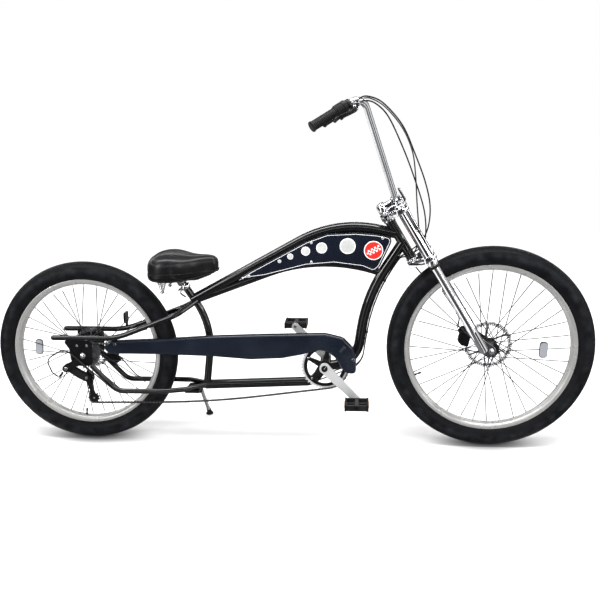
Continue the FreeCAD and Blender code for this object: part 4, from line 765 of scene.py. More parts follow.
@dataclass
class Wheel:
    """Balloon wheel: tyre, rim, crossed spokes, hub and brake disc."""

    name: str
    body: str
    x: float
    radius: float
    left_flange: float
    right_flange: float
    half: float
    disc_radius: float
    disc_y: float
    valve_angle: float
    reflector_angle: float
    tyre_height: float = 66.0
    tyre_half: float = 38.0
    rim_half: float = 22.0
    spokes: int = 36
    flange: float = 31.0
    barrel: float = 15.0

    @property
    def place(self) -> Matrix:
        """Frame of the wheel."""
        return axle_frame(self.x, self.radius)

    @property
    def seat(self) -> float:
        """Radius of the rim's edge."""
        return self.radius - self.tyre_height

    def build(self) -> None:
        """Makes all pieces of the wheel."""
        self.tyre()
        self.rim()
        self.wires()
        self.hub()
        self.disc()
        self.reflector()

    def tyre(self) -> None:
        """Rounded carcass with a notched tread at its shoulders and bead rings by the rim."""
        crown, flank = 37, 34
        widest = self.radius - crown
        outline: list[Pair] = []
        for degrees in range(-60, 61, 4):
            angle = math.radians(degrees * 1.5)
            outline.append((widest + crown * math.cos(angle), self.tyre_half * math.sin(angle)))
        wall = [(widest - flank * math.sin(math.radians(degrees)),
                 self.tyre_half * math.cos(math.radians(degrees)))
                for degrees in range(8, 57, 6)]
        bead = [(self.seat + 5, 22.6), (self.seat + 3.2, 21.2), (self.seat + 0.3, 20.6)]
        right = [(radius, -height) for radius, height in reversed(wall + bead)]
        outline = right + outline + wall + bead
        half = len(outline) / 2

        def notch(step: int, index: int) -> float:
            """Depth of the notches at the edge of the tread."""
            distance = abs(index - half)
            return -1.6 if step % 3 == 0 and 6 <= distance <= 9 else 0.0

        shape = Shape().lathe(outline, Look.TYRE, steps=432, wave=notch)
        shape.piece(f"{self.name}_tyre_carcass", self.body, [f"{self.name}_tyre"], "tyre",
                    place=self.place, crease=60)

    def rim(self) -> None:
        """Polished rim with rolled edges, and the valve."""
        edge, half = self.seat, self.rim_half
        outline = ((edge - 1, -half + 1.5), (edge, -half + 0.4), (edge - 2, -half),
                   (edge - 12, -half + 0.6), (edge - 14, -half + 2), (edge - 20, -11),
                   (edge - 21, -8), (edge - 21, 8),
                   (edge - 20, 11), (edge - 14, half - 2), (edge - 12, half - 0.6), (edge - 2, half),
                   (edge, half - 0.4), (edge - 1, half - 1.5))
        shape = Shape().lathe(outline, Look.POLISHED, steps=180)
        root, stem = polar(edge - 20, self.valve_angle), polar(edge - 46, self.valve_angle)
        shape.rod(root, root.lerp(stem, 0.25), 4.2, Look.RUBBER)
        shape.rod(root, stem, 2.9, Look.RUBBER)
        shape.rod(root.lerp(stem, 0.6), stem, 3.9, Look.PLASTIC)
        shape.piece(f"{self.name}_rim_ring", self.body, [f"{self.name}_rim"], "rim_alloy",
                    place=self.place, crease=50)

    def wires(self) -> None:
        """Crossed spokes with their heads and nipples."""
        shape = Shape()
        reach = self.seat - 20.5
        for index in range(self.spokes):
            side = 1 if index % 2 == 0 else -1
            twist = 1 if (index // 2) % 2 == 0 else -1
            flange = self.left_flange if side > 0 else -self.right_flange
            angle = 360 * index / self.spokes
            lead = twist * 6 * 360 / self.spokes
            root = polar(self.flange - 3, angle + lead, flange + side * twist * 4.6)
            rim = polar(reach, angle, side * 3 + twist * 1.5)
            way = (rim - root).normalized()
            shape.rod(root, rim, 1.7, Look.WIRE, 8, 0.2)
            shape.rod(rim - way * 13, rim, 2.1, Look.CHROME, 8, 0.3)
            head = Vector((root.x, root.y, flange + side * twist * 1.9))
            shape.rod(head, root, 2.0, Look.WIRE, 8, 0.3)
        shape.piece(f"{self.name}_wires", self.body, [f"{self.name}_spokes"], "spoke_steel",
                    place=self.place)

    def hub(self) -> None:
        """Black hub shell with its flanges, and the bolts of the disc."""
        left, right, flange, barrel = self.left_flange, self.right_flange, self.flange, self.barrel
        end = self.half - 0.5
        outline = ((5.1, -end), (9, -end), (9, -right - 8), (barrel - 1, -right - 6),
                   (flange - 4, -right - 3), (flange, -right - 1.8), (flange, -right + 1.8),
                   (flange - 6, -right + 2.6), (barrel + 2, -right + 6), (barrel - 2, -right + 14),
                   (barrel - 2, left - 14), (barrel + 2, left - 6), (flange - 6, left - 2.6),
                   (flange, left - 1.8), (flange, left + 1.8), (flange - 5, left + 2.6),
                   (barrel + 7, left + 3.4), (barrel + 7, self.disc_y + 2), (barrel, self.disc_y + 4),
                   (9, self.disc_y + 5), (9, end), (5.1, end))
        shape = Shape().lathe(outline, Look.BLACK_METAL, steps=72)
        for index in range(6):
            spot = polar(barrel + 3.5, index * 60 + 12, self.disc_y + 1)
            shape.rod(spot, spot + Vector((0, 0, 3)), 2.4, Look.STEEL, 12)
        shape.piece(f"{self.name}_hub_shell", self.body, [f"{self.name}_hub"], "hub_black",
                    place=self.place, crease=45)

    def disc(self) -> None:
        """Drilled brake track with a waved edge on swept arms."""
        outer, inner, thick = self.disc_radius, self.disc_radius - 15, 1.0
        low, high = (Vector((0, 0, self.disc_y + side * thick)) for side in (-1, 1))
        loops = []
        for step in range(216):
            angle = 2 * math.pi * step / 216
            wave = 1.5 * (math.cos(18 * angle) - 1)
            way = Vector((math.cos(angle), math.sin(angle), 0))
            root, rim = way * (inner + wave / 2), way * (outer + wave)
            loops.append([root + low, rim + low, rim + high, root + high])
        shape = Shape().skin(loops, Look.DISC, closed=True)
        for index in range(6):
            low, high = polar(self.barrel + 4, index * 60), polar(inner + 3, index * 60 + 28)
            bend = polar((inner + self.barrel) / 2, index * 60 + 22)
            path = flowing([low, bend, high], 5)
            outline = ((-3.2, -0.9), (3.2, -0.9), (3.2, 0.9), (-3.2, 0.9))
            lifted = [point + Vector((0, 0, self.disc_y)) for point in path]
            self.flat_arm(shape, lifted, outline)
        shape.piece(f"{self.name}_brake_disc", self.body, slot="hub_black", place=self.place)

    @staticmethod
    def flat_arm(shape: Shape, path: Sequence[Vector], outline: Sequence[Pair]) -> None:
        """Adds a flat arm that lies in the disc's plane."""
        loops = []
        for point, way in zip(path, headings(path)):
            side = way.cross(Vector((0, 0, 1))).normalized()
            loops.append([point + side * a + Vector((0, 0, b)) for a, b in outline])
        shape.skin(loops, Look.STEEL)

    def reflector(self) -> None:
        """Clear wheel reflector clipped between the spokes."""
        shape = Shape()
        centre = polar(197, self.reflector_angle)
        outward = centre.normalized()
        side = Vector((-outward.y, outward.x, 0))
        outline = soft_outline(((-28, -14), (28, -14), (28, 14), (-28, 14)), 13)
        for low, grow, look in ((-4.0, 1.6, Look.PLASTIC), (1.0, 0.0, Look.CLEAR_LENS),
                                (-7.0, 0.0, Look.CLEAR_LENS)):
            high = low + (5.0 if grow else 3.0)
            loops = [[centre + outward * (b * (1 + grow / 15)) + side * (a * (1 + grow / 15))
                      + Vector((0, 0, height)) for a, b in outline] for height in (low, high)]
            shape.skin(loops, look)
        shape.piece(f"{self.name}_spoke_reflector", self.body, slot="clear_lens", bevel=0.8,
                    place=self.place)


# Drive


@dataclass
class Drive:
    """Chain, chainring, cassette, cranks, pedals and derailleur."""

    pitch: float = 12.7
    teeth: int = 44
    y: float = -45.0
    ring_x: float = 921.0
    ring_z: float = 316.0
    hub_z: float = REAR_RADIUS
    guide: Pair = (6.0, 262.0)
    tension: Pair = (25.0, 176.0)
    pulley_teeth: int = 10
    cogs: tuple[int, ...] = (14, 16, 18, 20, 22, 24, 28)
    cog_spacing: float = 5.0
    driven: int = 20
    crank_length: float = 170.0
    crank_turn: float = -45.0
    arm_y: float = 66.0
    arm_thick: float = 14.0
    sag: Pair = (200.0, 160.0)
    sag_radius: float = 3500.0

    def build(self) -> None:
        """Makes the drive from the ring backward."""
        self.chainring()
        self.cassette()
        self.chain()
        self.cranks()
        self.pedal("pedal_right", -1)
        self.pedal("pedal_left", 1)
        self.derailleur()

    def radius(self, teeth: int) -> float:
        """Pitch radius of a toothed wheel."""
        return self.pitch / (2 * math.sin(math.pi / teeth))

    def teeth_outline(self, teeth: int, phase: float = 0.0) -> list[Pair]:
        """Outline of a toothed wheel whose gaps hold the rollers."""
        pitch_radius = self.radius(teeth)
        steps = ((0.0, -3.6), (0.12, -3.4), (0.22, -2.2), (0.30, -0.4), (0.40, 1.9), (0.46, 2.5),
                 (0.54, 2.5), (0.60, 1.9), (0.70, -0.4), (0.78, -2.2), (0.88, -3.4))
        outline = []
        for index in range(teeth):
            for share, rise in steps:
                angle = 2 * math.pi * (index + share + phase) / teeth
                reach = pitch_radius + rise
                outline.append((reach * math.cos(angle), reach * math.sin(angle)))
        return outline

    @staticmethod
    def washer(shape: Shape, outer: Sequence[Pair], hole: float, low: float, high: float,
               look: Look, place: Matrix | None = None) -> None:
        """Adds a flat plate with a round hole, from any outline, about Z."""
        loops = []
        for x, y in outer:
            share = hole / math.hypot(x, y)
            loops.append([Vector((x * share, y * share, low)), Vector((x, y, low)),
                          Vector((x, y, high)), Vector((x * share, y * share, high))])
        shape.skin(loops, look, place, closed=True)

    def chainring(self) -> None:
        """Toothed ring on five arms with its bolts."""
        shape = Shape()
        self.washer(shape, self.teeth_outline(self.teeth), 73, self.y - 1.1, self.y + 1.1, Look.ALLOY)
        self.washer(shape, circle(79, 160), 66, self.y - 2.6, self.y - 1.0, Look.BLACK_METAL)
        for index in range(5):
            turn = Matrix.Rotation(math.radians(72 * index - 9), 4, "Z")
            arm = soft_outline([(14, -12), (62, -7), (73, -10), (73, 10), (62, 7), (14, 12)], 5, 3)
            shape.skin([[turn @ Vector((a, b, h)) for a, b in arm] for h in (self.y - 6, self.y - 1.2)],
                       Look.BLACK_METAL)
            spot = turn @ Vector((69, 0, self.y - 6.6))
            shape.rod(spot, spot + Vector((0, 0, 8.5)), 4.6, Look.CHROME, 20, 0.8)
        hub = ((9.5, self.y - 7), (21, self.y - 7), (23, self.y - 5), (23, self.y + 3), (9.5, self.y + 3))
        shape.lathe(hub, Look.BLACK_METAL, steps=48)
        shape.piece("ring_and_arms", "crank", ["chainring"], "chain_steel", 0.35,
                    place=axle_frame(self.ring_x, self.ring_z))

    def cassette(self) -> None:
        """Seven cogs, spacers and lock ring."""
        shape = Shape()
        first = self.y - self.cogs.index(self.driven) * self.cog_spacing
        for index, teeth in enumerate(self.cogs):
            height = first + index * self.cog_spacing
            self.washer(shape, self.teeth_outline(teeth, index * 0.35), 17.5, height - 0.9, height + 0.9,
                        Look.STEEL)
            if index < len(self.cogs) - 1:
                spacer = ((17.5, height + 0.9), (21, height + 0.9), (21, height + 4.1),
                          (17.5, height + 4.1))
                shape.lathe(spacer, Look.BLACK_METAL, steps=36)
        lock = ((10, first - 2.6), (15, first - 2.6), (17.6, first - 0.9), (10, first - 0.9))
        shape.lathe(lock, Look.STEEL, steps=48)
        shape.piece("cog_stack", "rear_wheel", ["cassette"], "chain_steel",
                    place=axle_frame(0, self.hub_z))

    def rounds(self) -> list[tuple[Vector, float, int]]:
        """Circles that the chain follows: centre, radius, and 1 where it wraps them inside."""
        pulley = self.radius(self.pulley_teeth)
        return [(Vector((self.ring_x, self.ring_z)), self.radius(self.teeth), 1),
                (Vector((0, self.hub_z)), self.radius(self.driven), 1),
                (Vector(self.guide), pulley, -1), (Vector(self.tension), pulley, 1),
                (Vector((self.sag[0], self.sag[1] + self.sag_radius)), self.sag_radius, 1)]

    def pins(self) -> list[tuple[Vector, float]]:
        """Places and headings of the chain's pins."""
        circles = self.rounds()
        runs = []
        for index, (centre, radius, side) in enumerate(circles):
            other, other_radius, other_side = circles[(index + 1) % len(circles)]
            gap = other - centre
            lean = math.asin((side * radius - other_side * other_radius) / gap.length)
            angle = math.atan2(gap.y, gap.x) + lean
            right = Vector((math.sin(angle), -math.cos(angle)))
            runs.append((angle, centre + right * side * radius))
        line: list[tuple[Vector, float]] = []
        for index, (angle, start) in enumerate(runs):
            centre, radius, side = circles[(index + 1) % len(circles)]
            turn = (runs[(index + 1) % len(runs)][0] - angle) * side % (2 * math.pi)
            line.append((start, angle))
            steps = max(1, int(turn * radius / 3))
            for step in range(steps):
                heading = angle + side * turn * step / steps
                right = Vector((math.sin(heading), -math.cos(heading)))
                line.append((centre + right * side * radius, heading))
        return self.even(line)

    def even(self, line: Sequence[tuple[Vector, float]]) -> list[tuple[Vector, float]]:
        """Pins at equal spacing along the closed line."""
        lengths = [(line[(i + 1) % len(line)][0] - line[i][0]).length for i in range(len(line))]
        count = 2 * round(sum(lengths) / self.pitch / 2)
        step = sum(lengths) / count
        pins, index, passed = [], 0, 0.0
        for number in range(count):
            while passed + lengths[index] < number * step:
                passed += lengths[index]
                index += 1
            share = (number * step - passed) / lengths[index]
            start, end = line[index][0], line[(index + 1) % len(line)][0]
            way = end - start
            pins.append((start.lerp(end, share), math.atan2(way.y, way.x)))
        return pins

    def chain(self) -> None:
        """Roller chain: waisted inner and outer plates by turns, rollers and pin heads."""
        shape = Shape()
        pins = [pin for pin, _ in self.pins()]
        for index, pin in enumerate(pins):
            after = pins[(index + 1) % len(pins)]
            way = (after - pin).normalized()
            outer = index % 2
            for side in (-1, 1):
                low = self.y + side * (2.9 if outer else 1.7) - 0.45
                outline = []
                for centre, start in ((after, -70), (pin, 110)):
                    for degrees in range(start, start + 141, 35):
                        angle = math.radians(degrees) + math.atan2(way.y, way.x)
                        outline.append((centre.x + 4.7 * math.cos(angle),
                                        centre.y + 4.7 * math.sin(angle)))
                    middle = (pin + after) / 2
                    side_way = Vector((-way.y, way.x)) * (2.2 if start < 0 else -2.2)
                    outline.append(tuple(middle + side_way))
                shape.plate(outline, low, 0.9, Look.CHAIN)
            shape.stack(Vector((pin.x, self.y, pin.y)), Vector((0, 1, 0)), (
                (-3.9, 3.9, 1.7, Look.STEEL, 8, 0.3), (-1.6, 1.6, 3.8, Look.CHAIN, 10, 0.1)))
        shape.piece("roller_chain", "frame", ["chain"], "chain_steel")

    def crank_way(self) -> Vector:
        """Direction of the right crank."""
        angle = math.radians(self.crank_turn)
        return Vector((math.cos(angle), 0, math.sin(angle)))

    def cranks(self) -> None:
        """Forged arms with a groove, spindle, axle bolts and dust caps."""
        shape = Shape()
        centre = Vector((self.ring_x, 0, self.ring_z))
        for side, way in ((-1, self.crank_way()), (1, -self.crank_way())):
            low = side * self.arm_y if side > 0 else -self.arm_y - self.arm_thick
            tip = centre + way * self.crank_length
            across = Vector((way.z, 0, -way.x))
            outline = []
            for spot, radius, ahead in ((centre, 19, -1), (tip, 13.5, 1)):
                for degrees in range(-80, 81, 16):
                    angle = math.radians(degrees)
                    turned = way * math.cos(angle) + across * math.sin(angle)
                    point = spot + turned * ahead * radius
                    outline.append((point.x, point.z))
            shape.plate(outline, low, self.arm_thick, Look.ALLOY)
            face = low - 0.5 if side < 0 else low + self.arm_thick - 1.5
            groove = []
            for reach, half in ((34, 6.5), (self.crank_length - 24, 4.2)):
                for sign in ((-1, 1) if reach < 50 else (1, -1)):
                    point = centre + way * reach + across * half * sign
                    groove.append((point.x, point.z))
            shape.plate(soft_outline(groove, 5), face, 2, Look.ALLOY)
            out = Vector((0, side, 0))
            face_y = Vector((0, side * (self.arm_y + self.arm_thick - 1), 0))
            shape.stack(centre + face_y, out, ((0, 4, 12, Look.BLACK_METAL, 32, 1.5),
                                               (3.4, 5, 5, Look.CHROME, 6, 0.6)))
        shape.rod(centre - Vector((0, 66, 0)), centre + Vector((0, 66, 0)), 8.5, Look.STEEL, 32)
        shape.piece("crank_arms", "crank", ["cranks"], "crank_alloy", 1.6, crease=42)

    def pedal(self, body: str, side: int) -> None:
        """Resin platform pedal with a toothed cage, cross bars, spindle and amber reflectors."""
        centre = Vector((self.ring_x, 0, self.ring_z)) + self.crank_way() * -side * self.crank_length
        place = Matrix.Translation(centre)
        shape = Shape()
        near, far = side * 85.0, side * 169.0
        low, high = min(near, far), max(near, far)
        for x in (-44, 36):
            edge = [(x, -12), (x + 8, -12), (x + 8, 12), (x, 12)]
            shape.plate(soft_outline(edge, 3, 3), low, high - low, Look.PLASTIC)
            for count in range(7):
                tooth = low + 6 + count * 11
                shape.block((x + 1, tooth, 11), (x + 7, tooth + 5, 13.4), Look.PLASTIC)
                shape.block((x + 1, tooth, -13.4), (x + 7, tooth + 5, -11), Look.PLASTIC)
        for start in (low, high - 10):
            shape.block((-38, start, -10.5), (38, start + 10, 10.5), Look.PLASTIC)
        shape.block((-38, (low + high) / 2 - 4, -6), (38, (low + high) / 2 + 4, 6), Look.PLASTIC)
        inner = side * 66.0
        shape.stack(Vector(), Vector((0, 1, 0)), (
            (inner, near, 6.5, Look.STEEL, 24), (near - side, near + side * 3, 9.5, Look.STEEL, 24),
            (near, far, 10, Look.PLASTIC, 24)))
        for x in (-45.6, 43.6):
            shape.block((x, low + 20, -6), (x + 2, high - 20, 6), Look.AMBER_LENS)
        shape.piece(f"{body}_platform", body, [body], "pedal_plastic", 0.8, place=place)

    def derailleur(self) -> None:
        """Spring arm, jockey cage, two jockey wheels, hanger bolt and barrel adjuster."""
        shape = Shape()
        guide = Vector((self.guide[0], self.y, self.guide[1]))
        tension = Vector((self.tension[0], self.y, self.tension[1]))
        way = (tension - guide).normalized()
        side = Vector((way.z, 0, -way.x))
        for centre in (guide, tension):
            self.washer(shape, self.teeth_outline(self.pulley_teeth), 4.0, -1.2, 1.2, Look.PLASTIC,
                        Matrix.Translation(centre) @ WHEEL_AXIS)
            shape.rod(centre - Vector((0, 7.6, 0)), centre + Vector((0, 7.6, 0)), 4.2, Look.STEEL, 20)
        corners = [guide - way * 15 - side * 4, guide - way * 12 + side * 11, guide + side * 12,
                   tension - way * 6 + side * 6, tension + way * 9 + side * 6,
                   tension + way * 12 - side * 2, tension + way * 4 - side * 9,
                   tension - way * 26 - side * 5, guide + way * 10 - side * 12,
                   guide - way * 6 - side * 12]
        cage = soft_outline([(corner.x, corner.z) for corner in corners], 9, 4)
        for low in (-6.8, 4.8):
            shape.plate(cage, self.y + low, 2.0, Look.BLACK_METAL)
        arm = soft_outline(((-74, 292), (-60, 318), (-40, 308), (14, 274), (16, 254), (2, 246),
                            (-30, 262)), 9, 4)
        shape.plate(arm, self.y - 20, 9, Look.BLACK_METAL)
        plate = [(x * 0.82 - 6, z * 0.82 + 50) for x, z in arm]
        shape.plate(plate, self.y - 22.4, 2.6, Look.PLASTIC)
        hanger = soft_outline(((-34, 338), (-6, 332), (-46, 292), (-80, 300), (-76, 312)), 7, 4)
        shape.plate(hanger, -77.5, 5, Look.BLACK_METAL)
        pivot = Vector((-66, 0, 303))
        left = Vector((0, 1, 0))
        shape.stack(pivot, left, ((-84, -52, 14.5, Look.BLACK_METAL, 40, 2),
                                  (-86, -83, 7, Look.STEEL, 6, 0.8)))
        shape.stack(guide, left, ((-22, -5, 12.5, Look.BLACK_METAL, 36, 2),
                                  (-24, -21, 6, Look.STEEL, 6, 0.8)))
        base, tip = Vector((-84, -70, 285)), Vector((-96, -70, 268))
        shape.rod(base, tip, 4.6, Look.BLACK_METAL, 18)
        shape.piece("gear_changer", "frame", ["derailleur"], "black_metal", 0.6)


# Frame


@dataclass(frozen=True)
class Tube:
    """Centre line of a tube: corners, bend radii and the tube's radius."""

    corners: tuple[Triple, ...]
    radii: tuple[float, ...]
    radius: float

    def path(self, mirror: int = 1) -> list[Vector]:
        """Points along the centre line, mirrored to the right for -1."""
        return rounded([Vector((x, y * mirror, z)) for x, y, z in self.corners], self.radii, 3)


@dataclass
class FrameTubes:
    """Stretched double-tube frame with its stays, welds, plates and rear axle."""

    head: Pair = (1157.1, 858.2)
    head_angle: float = 30.76
    head_length: float = 158.0
    head_radius: float = 18.0
    shell: Pair = (921.0, 316.0)
    upper: Tube = Tube(((1178, 0, 812), (966, 0, 858), (420, 0, 559)), (416,), 19)
    lower: Tube = Tube(((1130, 0, 664), (918, 0, 740), (438, 0, 560)), (611,), 13.5)
    down: Tube = Tube(((1205, 0, 778), (1077, 0, 579), (1037, 0, 318), (921, 0, 303)), (600, 108), 19)
    boom: Tube = Tube(((455, 0, 221), (878, 0, 241), (921, 0, 316)), (60,), 18)
    seat: Tube = Tube(((397, 0, 603), (490, 0, 460), (461, 0, 221)), (300,), 14.3)
    seat_stay: Tube = Tube(((-112, 68, 422), (130, 68, 421), (370, 68, 515), (436, 10, 556)),
                           (260, 60), 10)
    chain_stay: Tube = Tube(((30, 72, 316), (126, 72, 214), (300, 72, 215), (385, 58, 219),
                             (462, 12, 222)),
                            (60, 200, 40), 10)

    @property
    def head_place(self) -> Matrix:
        """Steering frame: Z up the steering axis, X forward."""
        turn = Matrix.Rotation(math.radians(-self.head_angle), 4, "Y")
        return Matrix.Translation((self.head[0], 0, self.head[1])) @ turn

    def build(self) -> None:
        """Makes the frame."""
        self.tubes()
        self.stays()
        self.plates()
        self.axle()

    def tubes(self) -> None:
        """Main tubes, head tube with its cups, bottom bracket shell and weld beads."""
        for name, tube in (("upper_top_tube", self.upper), ("lower_top_tube", self.lower),
                           ("down_tube", self.down), ("boom_tube", self.boom), ("seat_tube", self.seat)):
            shape = Shape().tube(tube.path(), tube.radius, Look.PAINT, 40)
            for end, main, radius in self.joints(name):
                weld(shape, tube, end, main, radius)
            shape.piece(f"{name}_bar", "frame", [name], "black_paint", crease=60)
        shape = Shape()
        length, radius = self.head_length, self.head_radius
        shape.lathe(((13, 0), (radius + 1.6, 0), (radius + 1.6, -9), (radius, -13), (radius, 13 - length),
                     (radius + 1.6, 9 - length), (radius + 1.6, -length), (13, -length)),
                    Look.PAINT, steps=64)
        for base, way in ((0, 1), (-length, -1)):
            cup = ((13, base), (22, base), (22.3, base + way * 1), (22.3, base + way * 5),
                   (20.5, base + way * 6), (20.5, base + way * 7), (18, base + way * 8),
                   (13, base + way * 8))
            shape.lathe(cup, Look.CHROME, steps=64)
        shape.piece("head_shell", "frame", ["head_tube"], "black_paint", place=self.head_place, crease=40)
        shape = Shape()
        shape.lathe(((16, -36.5), (21, -36.5), (21, 36.5), (16, 36.5)), Look.PAINT, steps=64)
        for side in (-1, 1):
            cup = ((9, side * 36), (18.5, side * 36), (20, side * 37.2), (20, side * 40), (18, side * 41),
                   (9, side * 41))
            shape.lathe(cup, Look.BLACK_METAL, steps=16)
        shape.piece("bottom_shell", "frame", ["bb_shell"], "black_paint", 0.5,
                    place=axle_frame(*self.shell), crease=40)

    def joints(self, name: str) -> list[tuple[int, tuple[Vector, Vector], float]]:
        """Ends of a tube that are welded on another: the end, the other's axis and radius."""
        head = Vector((self.head[0], 0, self.head[1]))
        head_axis = (head, self.head_place.to_3x3() @ Vector((0, 0, 1)))
        shell_axis = (Vector((self.shell[0], 0, self.shell[1])), Vector((0, 1, 0)))
        seat = self.seat.path()
        low_way = (seat[-1] - seat[-2]).normalized()
        top_way = (seat[1] - seat[0]).normalized()
        return {
            "upper_top_tube": [(0, head_axis, self.head_radius),
                               (-1, (seat[0], top_way), self.seat.radius)],
            "lower_top_tube": [(0, head_axis, self.head_radius),
                               (-1, (seat[0], top_way), self.seat.radius)],
            "down_tube": [(0, head_axis, self.head_radius), (-1, shell_axis, 21)],
            "boom_tube": [(0, (seat[-1], low_way), self.seat.radius), (-1, shell_axis, 21)],
        }.get(name, [])

    def stays(self) -> None:
        """Seat stays with their bridge and chain stays."""
        shape = Shape()
        for side in (1, -1):
            shape.tube(self.seat_stay.path(side), self.seat_stay.radius, Look.PAINT, 32)
            shape.rod(Vector((-113, side * 68, 422)), Vector((-118, side * 68, 422)), 8, Look.PLASTIC,
                      32, 2)
        shape.rod(Vector((366, -68, 513)), Vector((366, 68, 513)), 7, Look.PAINT, 28)
        shape.piece("seat_stay_pair", "frame", ["seat_stays"], "black_paint", crease=60)
        shape = Shape()
        for side in (1, -1):
            shape.tube(self.chain_stay.path(side), self.chain_stay.radius, Look.PAINT, 32)
        shape.piece("chain_stay_pair", "frame", ["chain_stays"], "black_paint", crease=60)

    def plates(self) -> None:
        """Rear axle plates with their bolt heads."""
        shape = Shape()
        corners = ((-74, 413), (-50, 378), (-48, 340), (-38, 312), (24, 312), (36, 318), (42, 413))
        outline = soft_outline(corners, 14, 5)
        for side in (1, -1):
            low = 67.5 if side > 0 else -72.5
            shape.plate(outline, low, 5, Look.PAINT)
            for x in (-20, 18):
                face = Vector((x, side * 72.5, 392))
                shape.rod(face, face + Vector((0, side * 2, 0)), 5.5, Look.STEEL, 6)
        shape.piece("axle_plates", "frame", ["dropouts"], "black_paint", 1.2)

    def axle(self) -> None:
        """Rear axle with washers and domed nuts."""
        shape = Shape()
        axle_ends(shape, 0.0, REAR_RADIUS, 72.5)
        shape.piece("rear_axle_nuts", "frame", ["rear_axle"], "steel")


def axle_ends(shape: Shape, x: float, z: float, face: float) -> None:
    """Adds an axle with a washer and a nut outside each plate."""
    shape.rod(Vector((x, -face - 13.5, z)), Vector((x, face + 13.5, z)), 4.9, Look.STEEL, 24, 1)
    for side in (-1, 1):
        base = Vector((x, side * face, z))
        out = Vector((0, side, 0))
        shape.stack(base, out, ((0, 1.8, 11.5, Look.STEEL, 32, 0.4), (1.8, 9.5, 9.5, Look.CHROME, 6, 1.0),
                                (9, 11, 7.4, Look.CHROME, 28, 1.0)))


def weld(shape: Shape, tube: Tube, end: int, axis: tuple[Vector, Vector], radius: float) -> None:
    """Adds the rippled weld bead where a tube's wall meets another tube.

    Args:
        shape: mesh that gets the bead.
        tube: the tube that ends there.
        end: 0 for its first point, -1 for its last.
        axis: point and direction of the other tube's centre line.
        radius: radius of the other tube.
    """
    path = tube.path()
    if end == -1:
        path.reverse()
    dense: list[Vector] = []
    for first, second in zip(path, path[1:]):
        count = max(1, int((second - first).length / 1.5))
        dense += [first.lerp(second, step / count) for step in range(count)]
        if len(dense) > 90:
            break
    ways = headings(dense)
    side = Vector((0, 1, 0))
    base, along_main = axis
    ring = []
    for turn in range(96):
        angle = 2 * math.pi * turn / 96
        for point, way in reversed(list(zip(dense, ways))):
            up = way.cross(side)
            wall = point + (side * math.cos(angle) + up * math.sin(angle)) * tube.radius
            offset = wall - base
            if (offset - along_main * offset.dot(along_main)).length <= radius:
                ring.append(wall)
                break
    if len(ring) < 96:
        return
    shape.bead(ring, 2.3, Look.PAINT, 0.45)


@dataclass
class Guard:
    """Long pressed chain guard with a rolled lip and pressed ridges."""

    face: float = -61.0
    inner: float = -43.5
    outline: tuple[Pair, ...] = (
        (74, 380), (98, 408), (300, 418), (500, 432), (700, 440), (923, 446), (990, 430), (1028, 390),
        (1038, 350), (1038, 289), (1002, 289), (980, 312), (958, 352), (930, 374), (900, 380), (836, 361),
        (760, 346), (640, 340), (500, 350), (300, 356), (98, 356))

    def build(self) -> None:
        """Makes the plate, its lip, the ridges and the screws."""
        shape = Shape()
        outline = soft_outline(self.outline, 30, 6)
        rows = ((8.0, 0.0), (6.4, 0.3), (4.8, 1.1), (3.4, 2.4), (2.2, 4.2), (1.1, 6.8), (0.4, 9.6),
                (0.0, 12.6), (0.0, 14.0), (1.6, 14.0), (1.6, 12.4))
        shape.slab(outline, rows, Look.GUARD, self.face)
        top = [point for point in outline if point[1] > 400 or point[0] > 1000]
        lip_in = shrink(outline, 1.8)
        lip = [(outline[i], lip_in[i]) for i in range(len(outline)) if outline[i] in top]
        strip = [[Vector((a[0], self.face + 12, a[1])), Vector((a[0], self.inner, a[1])),
                  Vector((b[0], self.inner, b[1])), Vector((b[0], self.face + 12, b[1]))] for a, b in lip]
        shape.skin(strip, Look.GUARD)
        centre = Vector((921, 0, 316))
        for radius in (84, 90, 96, 102, 108):
            arc = [centre + Vector((radius * math.cos(math.radians(a)), self.face + 0.1,
                                    radius * math.sin(math.radians(a)))) for a in range(-6, 52, 4)]
            arc = [point for point in arc if 1008 > point.x > 960 or point.z < 395]
            shape.tube([point for point in arc if self.holds(point)], 1.0, Look.GUARD, 8)
        for x, z in ((1027, 346), (123, 396)):
            base = Vector((x, self.face, z))
            shape.stack(base, Vector((0, -1, 0)), ((-1, 1.6, 6.6, Look.CHROME, 28, 1.0),
                                                   (1.2, 2.4, 2.6, Look.BLACK_METAL, 6, 0.3)))
        shape.rod(Vector((1027, self.face + 2, 346)), Vector((1027, -14, 346)), 5.4, Look.PAINT, 24)
        shape.block((112, -58, 396), (134, -54, 420), Look.PAINT)
        shape.piece("guard_pressing", "frame", ["chain_guard"], "guard_paint", crease=35)

    def holds(self, point: Vector) -> bool:
        """Whether a point lies inside the guard's outline, well away from its edge."""
        return inside(shrink(self.outline, 8), (point.x, point.z))


def shrink(outline: Sequence[Pair], inset: float) -> list[Pair]:
    """Outline moved inward by an inset."""
    if not inset:
        return list(outline)
    total = len(outline)
    area = sum(outline[i][0] * outline[(i + 1) % total][1] - outline[(i + 1) % total][0] * outline[i][1]
               for i in range(total))
    sign = 1 if area > 0 else -1
    moved = []
    for index in range(total):
        before, here, after = (Vector(outline[(index + k) % total]) for k in (-1, 0, 1))
        into, out = (here - before).normalized(), (after - here).normalized()
        normal = Vector((-into.y, into.x)) + Vector((-out.y, out.x))
        normal = normal.normalized() * sign
        reach = inset / max(0.5, normal.dot(Vector((-into.y, into.x)) * sign))
        point = here + normal * reach
        moved.append((point.x, point.y))
    return moved


def inside(outline: Sequence[Pair], point: Pair) -> bool:
    """Whether a point lies within an outline."""
    within = False
    for (ax, ay), (bx, by) in zip(outline, list(outline[1:]) + [outline[0]]):
        if (ay > point[1]) != (by > point[1]):
            if point[0] < (bx - ax) * (point[1] - ay) / (by - ay) + ax:
                within = not within
    return within


